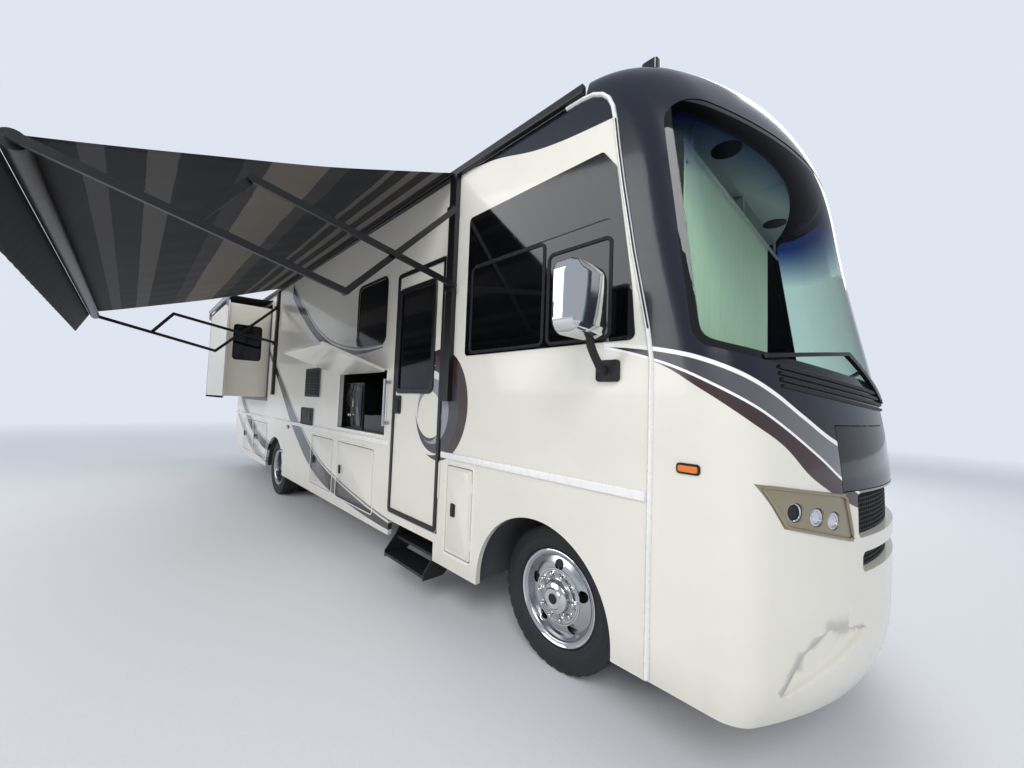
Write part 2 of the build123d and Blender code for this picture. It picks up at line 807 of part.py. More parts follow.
# Slide-out room, run out at rest, with its own front window
slide_face = half_width + slide_out
front_pane = (-1860, -1410, 2370, 3030)
with BuildPart() as slide_room:
    with BuildSketch(side_plane(-slide_inner)):
        patch(slide_rear, slide_front, slide_bottom, slide_top)
    extrude(amount=slide_face - slide_inner)
    with BuildSketch(side_plane(-slide_face + fascia_thickness)):
        patch(slide_rear - fascia_lip, slide_front + fascia_lip, slide_bottom - fascia_lip,
              slide_top + fascia_lip, 30)
    extrude(amount=fascia_thickness)
    with BuildSketch(side_plane(-slide_inner)):
        patch(slide_rear + slide_wall, slide_front - slide_wall, slide_bottom + slide_wall,
              slide_top - slide_wall)
    extrude(amount=slide_face - slide_inner - slide_wall, mode=Mode.SUBTRACT)
    with BuildSketch(cross_plane(slide_front + 10)):
        patch(*front_pane, window_radius)
    extrude(amount=-slide_wall - 20, mode=Mode.SUBTRACT)
slide_room.part.label = "slide_room"
export_step(slide_room.part, "parts/slide_room.step")

with BuildPart() as slide_glass:
    with BuildSketch(cross_plane(slide_front - 4)):
        patch(*front_pane, window_radius)
    extrude(amount=-pane_thickness)
slide_glass.part.label = "slide_glass"
export_step(slide_glass.part, "parts/slide_glass.step")

# Topper awning over the slide-out room
topper_radius = 35
topper_height = slide_top + fascia_lip + 60
topper_out = slide_face + 20
topper_wall_height = topper_height + topper_radius + 20
with BuildPart() as topper_roller:
    with BuildSketch(cross_plane(slide_rear - fascia_lip)):
        with Locations((-topper_out, topper_height)):
            Circle(topper_radius)
    extrude(amount=slide_front - slide_rear + 2 * fascia_lip)
    for station in (slide_rear - fascia_lip, slide_front + fascia_lip - 8):
        with BuildSketch(cross_plane(station)):
            patch(-slide_face - 40, -slide_face, slide_top - 80, topper_height)
        extrude(amount=8)
topper_roller.part.label = "topper_roller"
export_step(topper_roller.part, "parts/topper_roller.step")

with BuildPart() as topper_cloth:
    with BuildSketch(cross_plane(slide_rear - fascia_lip + 20)):
        with BuildLine():
            cloth_in = -half_width - seal_proud - running_gap
            cloth_low = topper_height + topper_radius + running_gap
            Polyline(
                (cloth_in, topper_wall_height),
                (-topper_out, cloth_low),
                (-topper_out, cloth_low + 4),
                (cloth_in, topper_wall_height + 4),
                close=True,
            )
        make_face()
    extrude(amount=slide_front - slide_rear + 2 * fascia_lip - 40)
topper_cloth.part.label = "topper_cloth"
export_step(topper_cloth.part, "parts/topper_cloth.step")

# Awning: rails and wall channels, folding arms, roller, cloth and the flap that hangs off the roller
channel_stations = (awning_front - 100, awning_rear + 10)
with BuildPart() as awning_rails:
    with BuildSketch(cross_plane(rear_wall_station + 40)):
        patch(-half_width - 40, -half_width, rail_low, rail_high, 8)
    extrude(amount=seam_top[0] - rear_wall_station - 40)
    with BuildSketch(side_plane(-half_width)):
        patch(slide_rear - fascia_lip, slide_front + fascia_lip, topper_wall_height - 15,
              topper_wall_height + 15)
    extrude(amount=seal_proud)
    for station in channel_stations:
        with BuildSketch(side_plane(-half_width)):
            patch(station, station + awning_channel_width, 1750, rail_low)
        extrude(amount=awning_channel_proud)
        for pivot_out, pivot_height in (awning_top_pivot, awning_low_pivot):
            with BuildSketch(cross_plane(station + 20)):
                patch(-pivot_out - 25, -half_width, pivot_height - 30, pivot_height + 30)
            extrude(amount=awning_channel_width - 20)
awning_rails.part.label = "awning_rails"
export_step(awning_rails.part, "parts/awning_rails.step")


def bar_between(start, end, station, width):
    """Straight bar of the folding arm between two pivots, given as distance out and height."""
    run_out, run_up = end[0] - start[0], end[1] - start[1]
    length = hypot(run_out, run_up)
    direction = (0, -run_out / length, run_up / length)
    normal = (0, run_up / length, run_out / length)
    bar_plane = Plane(
        origin=(station - centre_station, -start[0] - centre_offset, start[1]),
        x_dir=direction,
        z_dir=(1, 0, 0),
    )
    with BuildPart() as bar:
        with BuildSketch(bar_plane):
            with Locations((length / 2, 0)):
                SlotOverall(length + awning_bar, awning_bar)
        extrude(amount=width)
    return bar.part


arm_bar_width = 26
with BuildPart() as awning_arms:
    for station in channel_stations:
        near = station + awning_channel_width
        add(bar_between(awning_top_pivot, awning_elbow, near, arm_bar_width))
        add(bar_between(awning_low_pivot, awning_fold, near + arm_bar_width, arm_bar_width))
        add(bar_between(awning_elbow, awning_end, near + arm_bar_width, arm_bar_width))
        add(bar_between(awning_fold, awning_knee, near, arm_bar_width))
awning_arms.part.label = "awning_arms"
export_step(awning_arms.part, "parts/awning_arms.step")

roller_front = channel_stations[0] + awning_channel_width
roller_rear = channel_stations[1] + awning_channel_width + 2 * arm_bar_width
with BuildPart() as awning_roller:
    with BuildSketch(cross_plane(roller_rear)):
        with Locations((-awning_end[0], awning_end[1])):
            Circle(roller_radius)
    extrude(amount=roller_front - roller_rear)
awning_roller.part.label = "awning_roller"
export_step(awning_roller.part, "parts/awning_roller.step")

cloth_margin = 60
with BuildPart() as awning_cloth:
    with BuildSketch(cross_plane(roller_rear + cloth_margin)):
        with BuildLine():
            cloth_start = (-half_width - 40 - running_gap, rail_low + 30)
            cloth_end = (-awning_end[0], awning_end[1] + roller_radius + running_gap)
            cloth_middle = ((cloth_start[0] + cloth_end[0]) / 2, (cloth_start[1] + cloth_end[1]) / 2 - 30)
            cloth_up = [(y, z + cloth_thickness) for y, z in (cloth_start, cloth_middle, cloth_end)]
            ThreePointArc(cloth_start, cloth_middle, cloth_end)
            Line(cloth_end, cloth_up[2])
            ThreePointArc(cloth_up[2], cloth_up[1], cloth_up[0])
            Line(cloth_up[0], cloth_start)
        make_face()
        with BuildLine():
            flap_start = (-awning_end[0] - roller_radius - running_gap, awning_end[1])
            flap_end = (flap_start[0] - cover_drop * cover_slope, flap_start[1] - cover_drop)
            Polyline(
                flap_start,
                flap_end,
                (flap_end[0] - cover_thickness, flap_end[1]),
                (flap_start[0] - cover_thickness, flap_start[1]),
                close=True,
            )
        make_face()
    extrude(amount=roller_front - roller_rear - 2 * cloth_margin)
awning_cloth.part.label = "awning_cloth"
export_step(awning_cloth.part, "parts/awning_cloth.step")

# Entry step below the door: two treads on side plates that run in below the stairwell
StepTread = namedtuple("StepTread", "outer height")
step_treads = (StepTread(half_width - 45, 420), StepTread(half_width + 70, 285))
tread_depth = 215
tread_thickness = 25
side_plate = 12
step_top = door_bottom - running_gap
step_plate_in = 345
step_plate_out = 145
step_plate_outline = (
    (step_plate_out, step_top),
    (35, 460),
    (-70, 325),
    (-70, 270),
    (125, 270),
    (315, 420),
    (step_plate_in, step_top),
)
with BuildPart() as entry_step:
    for tread in step_treads:
        with BuildSketch(level_plane(tread.height)):
            patch(step_rear + 100, step_front - 10, -tread.outer, -tread.outer + tread_depth)
        extrude(amount=tread_thickness)
    for station in (step_rear + 88, step_front - 22):
        with BuildSketch(cross_plane(station)):
            with BuildLine():
                Polyline(*[(out - half_width, height) for out, height in step_plate_outline], close=True)
            make_face()
        extrude(amount=side_plate)
    with BuildSketch(level_plane(step_top)):
        patch(step_rear + 88, step_front - 10, step_plate_out - half_width, step_plate_in - half_width)
    extrude(amount=-tread_thickness)
entry_step.part.label = "entry_step"
export_step(entry_step.part, "parts/entry_step.step")

# Chassis: frame rails with cross members, floor risers and the tow receiver
rail_inner = rail_spacing / 2 - rail_width / 2
rail_outer = rail_spacing / 2 + rail_width / 2
cross_member_stations = (-9250, -7500, -5300, -3400, -1500, 700)
riser_stations = (-8900, -7500, -5000, -3400, -1900, 500)
with BuildPart() as chassis_frame:
    with BuildSketch(level_plane(rail_bottom)):
        for side in (-1, 1):
            patch(rail_rear, rail_front, *sorted((side * rail_inner, side * rail_outer)))
    extrude(amount=rail_height)
    for station in cross_member_stations:
        with BuildSketch(cross_plane(station)):
            patch(-rail_inner, rail_inner, rail_bottom + 60, rail_top - 60)
        extrude(amount=60)
    for station in riser_stations:
        with BuildSketch(cross_plane(station)):
            patch(-rail_outer, rail_outer, floor_height - floor_thickness - 60,
                  floor_height - floor_thickness)
            for side in (-1, 1):
                patch(*sorted((side * rail_inner, side * rail_outer)), rail_top,
                      floor_height - floor_thickness - 60)
        extrude(amount=60)
    receiver_end = rear_station - 40
    with BuildSketch(cross_plane(receiver_end)):
        with Locations((0, receiver_height)):
            Rectangle(receiver_size, receiver_size)
            Rectangle(receiver_bore, receiver_bore, mode=Mode.SUBTRACT)
    extrude(amount=receiver_length)
    with BuildSketch(cross_plane(rail_rear)):
        patch(-rail_outer, rail_outer, receiver_height + receiver_size / 2, rail_bottom)
    extrude(amount=80)
    with BuildSketch(side_plane(0)):
        with Locations((receiver_end + 60, receiver_height)):
            Circle(hitch_pin_radius)
    extrude(amount=receiver_size, both=True, mode=Mode.SUBTRACT)
chassis_frame.part.label = "chassis_frame"
export_step(chassis_frame.part, "parts/chassis_frame.step")

# Axles with their leaf springs
spring_half = 700
spring_thickness = 55
spring_width = 75
axle_pad = 75
beam_width = 90
beam_drop = 90
beam_height = 100
spring_side = rail_spacing / 2 + spring_width / 2
spring_inner = rail_spacing / 2 - spring_width / 2
pad_height = tyre_radius + axle_pad


def spring_outline(station):
    """Bowed leaf pack from rail to rail over an axle, in side view."""
    rear, front = station - spring_half, station + spring_half
    ThreePointArc((rear, rail_bottom), (station, pad_height), (front, rail_bottom))
    Line((front, rail_bottom), (front - spring_thickness, rail_bottom))
    ThreePointArc(
        (front - spring_thickness, rail_bottom),
        (station, pad_height + spring_thickness),
        (rear + spring_thickness, rail_bottom),
    )
    Line((rear + spring_thickness, rail_bottom), (rear, rail_bottom))


with BuildPart() as front_axle:
    with BuildSketch(cross_plane(-beam_width / 2)):
        beam_top, beam_low = tyre_radius + beam_height / 2, tyre_radius - beam_height / 2
        with BuildLine():
            Polyline(
                (-kingpin_offset, beam_top),
                (-kingpin_offset + 130, beam_top),
                (-kingpin_offset + 240, beam_top - beam_drop),
                (kingpin_offset - 240, beam_top - beam_drop),
                (kingpin_offset - 130, beam_top),
                (kingpin_offset, beam_top),
                (kingpin_offset, beam_low),
                (kingpin_offset - 80, beam_low),
                (kingpin_offset - 200, beam_low - beam_drop),
                (-kingpin_offset + 200, beam_low - beam_drop),
                (-kingpin_offset + 80, beam_low),
                (-kingpin_offset, beam_low),
                close=True,
            )
        make_face()
        for side in (-1, 1):
            patch(*sorted((side * spring_inner, side * spring_side)), beam_top - beam_drop - 1,
                  pad_height + spring_thickness / 2)
    extrude(amount=beam_width)
    for side in (-1, 1):
        with BuildSketch(level_plane(tyre_radius - axle_eye_height / 2)):
            with Locations((0, side * kingpin_offset)):
                Circle(axle_eye_radius)
        extrude(amount=axle_eye_height)
        with BuildSketch(level_plane(tyre_radius - kingpin_height / 2)):
            with Locations((0, side * kingpin_offset)):
                Circle(kingpin_radius)
        extrude(amount=kingpin_height)
        with BuildSketch(side_plane(side * spring_side)):
            with BuildLine():
                spring_outline(0)
            make_face()
        extrude(amount=side * spring_width)
front_axle.part.label = "front_axle"
export_step(front_axle.part, "parts/front_axle.step")

# Rear axle: tube, differential, spindles, springs and the shaft from the gearbox
rear_hub_inner = 120
rear_hub_outer = 200
rear_spindle_reach = 140
rear_hub_plane = rear_wheel_centre - twin_spacing / 2
shaft_radius = 45
gearbox_rear = -900
gearbox_height = 600
with BuildPart() as rear_axle_beam:
    tube_end = rear_hub_plane - rear_hub_inner - running_gap
    with BuildSketch(side_plane(0)):
        with Locations((rear_axle, tyre_radius)):
            Circle(axle_tube_radius)
    extrude(amount=tube_end, both=True)
    with BuildSketch(side_plane(0)):
        with Locations((rear_axle, tyre_radius)):
            Circle(spindle_radius)
    extrude(amount=rear_hub_plane + rear_spindle_reach, both=True)
    with BuildSketch(side_plane(0)) as bulb:
        with BuildLine():
            Line((rear_axle - differential_radius, tyre_radius),
                 (rear_axle + differential_radius, tyre_radius))
            ThreePointArc(
                (rear_axle + differential_radius, tyre_radius),
                (rear_axle, tyre_radius + differential_radius),
                (rear_axle - differential_radius, tyre_radius),
            )
        make_face()
    bulb_axis = Axis((-centre_station, -centre_offset, tyre_radius), (1, 0, 0))
    revolve(axis=bulb_axis)
    for side in (-1, 1):
        with BuildSketch(cross_plane(rear_axle - beam_width / 2)):
            patch(*sorted((side * spring_inner, side * spring_side)), tyre_radius,
                  pad_height + spring_thickness / 2)
        extrude(amount=beam_width)
        with BuildSketch(side_plane(side * spring_side)):
            with BuildLine():
                spring_outline(rear_axle)
            make_face()
        extrude(amount=side * spring_width)
    shaft_run = gearbox_rear - rear_axle
    shaft_rise = gearbox_height - tyre_radius
    shaft_length = hypot(shaft_run, shaft_rise)
    shaft_plane = Plane(
        origin=(rear_axle - centre_station, -centre_offset, tyre_radius),
        x_dir=(0, 1, 0),
        z_dir=(shaft_run / shaft_length, 0, shaft_rise / shaft_length),
    )
    with BuildSketch(shaft_plane):
        Circle(shaft_radius)
    extrude(amount=shaft_length - 2)
rear_axle_beam.part.label = "rear_axle"
export_step(rear_axle_beam.part, "parts/rear_axle.step")

with BuildPart() as engine_block:
    with BuildSketch(level_plane(560)):
        patch(-420, 480, -330, 330)
    extrude(amount=floor_height - floor_thickness - 80 - 560)
    with BuildSketch(level_plane(gearbox_height - 90)):
        patch(gearbox_rear, -420, -160, 160)
    extrude(amount=230)
    for side in (-1, 1):
        with BuildSketch(level_plane(rail_bottom + 60)):
            patch(-60, 60, *sorted((side * 330, side * rail_inner)))
        extrude(amount=80)
engine_block.part.label = "engine_block"
export_step(engine_block.part, "parts/engine_block.step")

tank_top = floor_height - floor_thickness - 60
with BuildPart() as tanks:
    for tank_rear, tank_front in ((-8870, -7470), (-5030, -3370)):
        with BuildSketch(level_plane(rail_top - 50)):
            patch(tank_rear, tank_front, -rail_inner, rail_inner)
        extrude(amount=tank_top - rail_top + 50)
tanks.part.label = "tanks"
export_step(tanks.part, "parts/tanks.step")

# Steering knuckles on their kingpins
knuckle_web = 25
front_hub_inner = 60
front_spindle_reach = 90
knuckle_outer = front_wheel_centre - front_hub_inner - running_gap
for side, side_name in ((-1, "kerb"), (1, "street")):
    with BuildPart() as knuckle:
        for lug_low in (tyre_radius + axle_eye_height / 2 + running_gap,
                        tyre_radius - axle_eye_height / 2 - running_gap - knuckle_lug_height):
            with BuildSketch(level_plane(lug_low)):
                with Locations((0, side * kingpin_offset)):
                    Circle(axle_eye_radius)
                patch(-axle_eye_radius, axle_eye_radius,
                      *sorted((side * kingpin_offset, side * knuckle_outer)))
                with Locations((0, side * kingpin_offset)):
                    Circle(kingpin_radius + running_gap, mode=Mode.SUBTRACT)
            extrude(amount=knuckle_lug_height)
        web_half = axle_eye_height / 2 + running_gap + knuckle_lug_height
        with BuildSketch(side_plane(side * knuckle_outer)):
            patch(-axle_eye_radius, axle_eye_radius, tyre_radius - web_half, tyre_radius + web_half)
            with Locations((0, tyre_radius)):
                Circle(150)
        extrude(amount=side * knuckle_web)
        with BuildSketch(side_plane(side * knuckle_outer)):
            with Locations((0, tyre_radius)):
                Circle(spindle_radius)
        extrude(amount=-side * (front_spindle_reach + front_hub_inner))
    knuckle.part.label = f"knuckle_{side_name}"
    export_step(knuckle.part, f"parts/knuckle_{side_name}.step")

# Wheels: rim sections as distance out from the wheel's middle and radius
barrel = rim_width / 2
barrel_inner = rim_radius - 24
front_rim_section = (
    (-barrel, flange_radius), (-barrel + 8, flange_radius), (-barrel + 13, rim_radius),
    (barrel - 13, rim_radius),
    (barrel - 8, flange_radius), (barrel, flange_radius), (barrel, flange_radius - 9),
    (barrel - 8, barrel_inner + 8),
    (60, barrel_inner), (82, 205), (86, 170), (86, hub_radius), (118, 92), (128, 60), (128, 0), (108, 0),
    (108, hub_bore_radius), (-front_hub_inner, hub_bore_radius), (-front_hub_inner, hub_radius),
    (62, hub_radius + 8),
    (72, 170), (68, 200), (44, barrel_inner - 8), (-barrel + 6, barrel_inner), (-barrel, flange_radius - 9),
)
half_gap = twin_spacing / 2 - barrel
far_edge = half_gap + rim_width
rear_rim_section = (
    (far_edge, flange_radius), (far_edge - 8, flange_radius), (far_edge - 13, rim_radius),
    (half_gap + 13, rim_radius), (half_gap + 8, flange_radius), (half_gap, flange_radius),
    (half_gap - 8, barrel_inner - 10), (20, 205), (-20, 205), (-half_gap + 8, barrel_inner - 10),
    (-half_gap, flange_radius), (-half_gap - 8, flange_radius), (-half_gap - 13, rim_radius),
    (-far_edge + 13, rim_radius), (-far_edge + 8, flange_radius), (-far_edge, flange_radius),
    (-far_edge, flange_radius - 9), (-far_edge + 8, barrel_inner), (-half_gap - 30, barrel_inner - 14),
    (-16, 186), (-16, hub_radius), (-rear_hub_inner, hub_radius), (-rear_hub_inner, hub_bore_radius),
    (rear_hub_outer - 20, hub_bore_radius), (rear_hub_outer - 20, 0), (rear_hub_outer + 8, 0),
    (rear_hub_outer + 8, 60), (rear_hub_outer, 84), (16, hub_radius), (16, 186),
    (half_gap + 30, barrel_inner - 14),
    (far_edge - 8, barrel_inner), (far_edge, flange_radius - 9),
)
bead_half = barrel - 13.5
tread_half = tyre_width / 2 - 18


def wheel_axis(station):
    """Axis of a wheel across the coach."""
    return Axis((station - centre_station, -centre_offset, tyre_radius), (0, 1, 0))


def wheel_rim(side, station, middle, section, disc_face):
    """Rim turned from its section, with hand holes through the disc and nuts on it."""
    with BuildPart() as rim:
        with BuildSketch(cross_plane(station)):
            with BuildLine():
                Polyline(*[(side * (middle + out), tyre_radius + radius) for out, radius in section],
                         close=True)
            make_face()
        revolve(axis=wheel_axis(station))
        with BuildSketch(side_plane(side * (middle + disc_face))):
            with Locations((station, tyre_radius)):
                with PolarLocations(hand_hole_circle_radius, hand_hole_count, start_angle=90):
                    Circle(hand_hole_radius)
        extrude(amount=3 * nut_length, both=True, mode=Mode.SUBTRACT)
        with BuildSketch(side_plane(side * (middle + disc_face))):
            with Locations((station, tyre_radius)):
                with PolarLocations(nut_circle_radius, nut_count):
                    RegularPolygon(nut_radius, 6)
        extrude(amount=-side * nut_length)
    return rim.part


def tyre_outline(side, middle):
    """Tyre section on one side of the coach, round a wheel's middle."""
    def place(out, radius):
        return side * (middle + out), tyre_radius + radius

    shoulder = tyre_radius - 12
    Polyline(place(-bead_half, flange_radius + 1), place(-bead_half, rim_radius),
             place(bead_half, rim_radius),
             place(bead_half, flange_radius + 1))
    ThreePointArc(place(bead_half, flange_radius + 1), place(tyre_width / 2, 385),
                  place(tread_half + 8, shoulder - 4))
    Line(place(tread_half + 8, shoulder - 4), place(tread_half, shoulder + 4))
    ThreePointArc(place(tread_half, shoulder + 4), place(0, tyre_radius), place(-tread_half, shoulder + 4))
    Line(place(-tread_half, shoulder + 4), place(-tread_half - 8, shoulder - 4))
    ThreePointArc(place(-tread_half - 8, shoulder - 4), place(-tyre_width / 2, 385),
                  place(-bead_half, flange_radius + 1))


for side, side_name in ((-1, "kerb"), (1, "street")):
    front_rim = wheel_rim(side, 0, front_wheel_centre, front_rim_section, 86)
    front_rim.label = f"front_rim_{side_name}"
    export_step(front_rim, f"parts/front_rim_{side_name}.step")
    rear_rims = wheel_rim(side, rear_axle, rear_hub_plane, rear_rim_section, 16)
    rear_rims.label = f"rear_rims_{side_name}"
    export_step(rear_rims, f"parts/rear_rims_{side_name}.step")
    with BuildPart() as front_tyre:
        with BuildSketch(cross_plane(0)):
            with BuildLine():
                tyre_outline(side, front_wheel_centre)
            make_face()
        revolve(axis=wheel_axis(0))
    front_tyre.part.label = f"front_tyre_{side_name}"
    export_step(front_tyre.part, f"parts/front_tyre_{side_name}.step")
    with BuildPart() as rear_tyres:
        for middle in (rear_wheel_centre, rear_wheel_centre - twin_spacing):
            with BuildSketch(cross_plane(rear_axle)):
                with BuildLine():
                    tyre_outline(side, middle)
                make_face()
            revolve(axis=wheel_axis(rear_axle))
    rear_tyres.part.label = f"rear_tyres_{side_name}"
    export_step(rear_tyres.part, f"parts/rear_tyres_{side_name}.step")

# Mirrors on arms below the cab windows
base_low = mirror_low - 215
base_high = mirror_low - 85
base_back = 70
base_front = 80
base_depth = 30
arm_width = 50
arm_margin = 15
arm_sink = 30
head_back = 60
head_front = 70
with BuildPart() as mirrors:
    for side in (-1, 1):
        with BuildSketch(side_plane(side * half_width)):
            patch(mirror_station - base_back, mirror_station + base_front, base_low, base_high, 20)
        extrude(amount=-side * base_depth)
        with BuildSketch(cross_plane(mirror_station - arm_width / 2)):
            with BuildLine():
                arm_root, elbow, arm_end = [
                    side * out for out in (half_width + base_depth - 2, mirror_inner + 60, mirror_inner + 150)
                ]
                Polyline(
                    (arm_root, base_low + arm_margin),
                    (arm_root, base_high - arm_margin),
                    (elbow, mirror_low - 60),
                    (elbow, mirror_low + arm_sink),
                    (arm_end, mirror_low + arm_sink),
                    (arm_end, mirror_low - 90),
                    close=True,
                )
            make_face()
        extrude(amount=arm_width)
        with BuildSketch(level_plane(mirror_low)) as head:
            patch(mirror_station - head_back, mirror_station + head_front,
                  *sorted((side * mirror_inner, side * (mirror_inner + mirror_width))))
            fillet(head.vertices(), 45)
        extrude(amount=mirror_height)
mirrors.part.label = "mirrors"
export_step(mirrors.part, "parts/mirrors.step")

# Wipers lie on the windshield, with a boss at each pivot on the cap
wiper_thickness = 20
wiper_outline = (
    (1100, 2022), (560, 2074), (520, 2080), (120, 1872), (86, 1856), (98, 1830), (134, 1848),
    (540, 2058), (1098, 2002),
)
with BuildPart() as wipers:
    add(cap_form(-wiper_thickness))
    add(cap_outer, mode=Mode.SUBTRACT)
    add(front_prism(wiper_outline, 0), mode=Mode.INTERSECT)
wipers.part.label = "wipers"
export_step(wipers.part, "parts/wipers.step")

# Amber side markers, clearance lamps on the brow and the tail lamps
marker_length = 88
marker_height = 30
crown_height = cap_sections[-1].height
BrowLamp = namedtuple("BrowLamp", "offset top")
brow_lamps = (
    BrowLamp(-1040, crown_height - 10),
    BrowLamp(-180, crown_height + 32),
    BrowLamp(0, crown_height + 32),
    BrowLamp(180, crown_height + 32),
    BrowLamp(1040, crown_height - 10),
)
brow_lamp_station = 600
brow_lamp_length = 100
brow_lamp_width = 62
brow_lamp_sink = 90
side_markers = ((937, 1478), (-5405, 1235))
tail_marker_offsets = (-900, -160, 0, 160, 900)
with BuildPart() as marker_lamps:
    for lamp in brow_lamps:
        with BuildSketch(level_plane(lamp.top)):
            with Locations((brow_lamp_station, lamp.offset)):
                RectangleRounded(brow_lamp_length, brow_lamp_width, 20)
        extrude(amount=-brow_lamp_sink)
    for side in (-1, 1):
        with BuildSketch(side_plane(side * half_width)):
            for station, height in side_markers:
                patch(station - marker_length / 2, station + marker_length / 2, height - marker_height / 2,
                      height + marker_height / 2, 8)
        extrude(amount=-side * 14)
    add(cap_outer, mode=Mode.SUBTRACT)
    with BuildSketch(cross_plane(rear_station)):
        for side in (-1, 1):
            patch(*sorted((side * 1000, side * 1130)), 1050, 1420, 30)
        for offset_out in tail_marker_offsets:
            patch(offset_out - 45, offset_out + 45, 3560, 3590, 8)
    extrude(amount=-16)
marker_lamps.part.label = "marker_lamps"
export_step(marker_lamps.part, "parts/marker_lamps.step")

# Roof air units and vents
with BuildPart() as roof_units:
    for station in (-2600, -7300):
        with BuildSketch(level_plane(wall_top + roof_rise - 20)):
            patch(station - 520, station + 520, -350, 350, 120)
        extrude(amount=240)
    for station in (-900, -4300, -5600, -8700):
        with BuildSketch(level_plane(wall_top + roof_rise - 20)):
            patch(station - 210, station + 210, 250, 670, 40)
        extrude(amount=95)
    add(roof.part, mode=Mode.SUBTRACT)
roof_units.part.label = "roof_units"
export_step(roof_units.part, "parts/roof_units.step")

# Fittings on the outside: ladder, grab handle, louvred vent and service hatch
handle_station = -1995
ladder_tube = 14
ladder_sides = (480, 860)
ladder_low = 1000
ladder_high = 3560
ladder_station = rear_station - ladder_reach + ladder_tube
with BuildPart() as body_fittings:
    with BuildSketch(level_plane(ladder_low)):
        with Locations(*[(ladder_station, y) for y in ladder_sides]):
            Circle(ladder_tube)
    extrude(amount=ladder_high - ladder_low)
    rung_count = 9
    for rung in range(rung_count):
        rung_height = ladder_low + 60 + rung * (ladder_high - ladder_low - 120) / (rung_count - 1)
        with BuildSketch(side_plane(ladder_sides[0])):
            with Locations((ladder_station, rung_height)):
                Circle(ladder_tube - 3)
        extrude(amount=ladder_sides[0] - ladder_sides[1])
    for height in (ladder_low + 60, (ladder_low + ladder_high) / 2, ladder_high - 60):
        with BuildSketch(cross_plane(ladder_station)):
            with Locations(*[(y, height) for y in ladder_sides]):
                Circle(ladder_tube - 3)
        extrude(amount=rear_station - ladder_station)
    with BuildSketch(level_plane(1480)):
        with Locations((handle_station, -half_width - 60)):
            Circle(15)
    extrude(amount=470)
    for height in (1510, 1920):
        with BuildSketch(side_plane(-half_width)):
            with Locations((handle_station, height)):
                Circle(17)
        extrude(amount=60)
    with BuildSketch(side_plane(-half_width)):
        patch(-4610, -4000, 1740, 2150, 15)
    extrude(amount=12)
    with BuildSketch(side_plane(-half_width)):
        patch(-4750, -4220, 1330, 1580, 15)
    extrude(amount=8)
body_fittings.part.label = "body_fittings"
export_step(body_fittings.part, "parts/body_fittings.step")

# Cab: dashboard with the steering wheel, two seats and the curtain across the windshield
dash_rear = 560
dash_height = 1870
dash_half = cabin_side - 20
driver_offset = 520
with BuildPart() as dashboard:
    add(cap_inner)
    with BuildSketch(level_plane(dash_height)):
        patch(dash_rear, cap_mask_front, -dash_half, dash_half)
    extrude(amount=-90, mode=Mode.INTERSECT)
    with BuildSketch(level_plane(dash_height)):
        patch(dash_rear, dash_rear + 150, -1180, 1180)
    extrude(amount=floor_height - dash_height)
    wheel_plane = Plane(
        origin=(360 - centre_station, driver_offset - centre_offset, 1930),
        x_dir=(0, 1, 0),
        z_dir=(-cos(radians(40)), 0, sin(radians(40))),
    )
    with BuildSketch(wheel_plane):
        Circle(215)
        Circle(185, mode=Mode.SUBTRACT)
        Rectangle(380, 40)
        Circle(60)
    extrude(amount=28)
    with BuildSketch(wheel_plane):
        Circle(28)
    extrude(amount=-330)
dashboard.part.label = "dashboard"
export_step(dashboard.part, "parts/dashboard.step")

with BuildPart() as cab_seats:
    for side in (-1, 1):
        with BuildSketch(level_plane(floor_height)):
            patch(-330, 130, side * driver_offset - 200, side * driver_offset + 200)
        extrude(amount=250)
        with BuildSketch(level_plane(floor_height + 250)):
            patch(-380, 180, side * driver_offset - 270, side * driver_offset + 270, 60)
        extrude(amount=150)
        with BuildSketch(side_plane(side * driver_offset)):
            with BuildLine():
                Polyline((-380, 1600), (-240, 1600), (-340, 2400), (-440, 2400), close=True)
            make_face()
        extrude(amount=260, both=True)
cab_seats.part.label = "cab_seats"
export_step(cab_seats.part, "parts/cab_seats.step")

curtain_thickness = 8
with BuildPart() as cab_curtain:
    with BuildSketch(cross_plane(curtain_station - curtain_thickness / 2)):
        patch(-ceiling_half + 10, 740, dash_height + 30, rod_height - rod_radius - running_gap)
    extrude(amount=curtain_thickness)
cab_curtain.part.label = "cab_curtain"
export_step(cab_curtain.part, "parts/cab_curtain.step")
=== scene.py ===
import json
from math import cos, pi, radians, sin

import bmesh
import bpy
from mathutils import Matrix, Vector
from mathutils.bvhtree import BVHTree

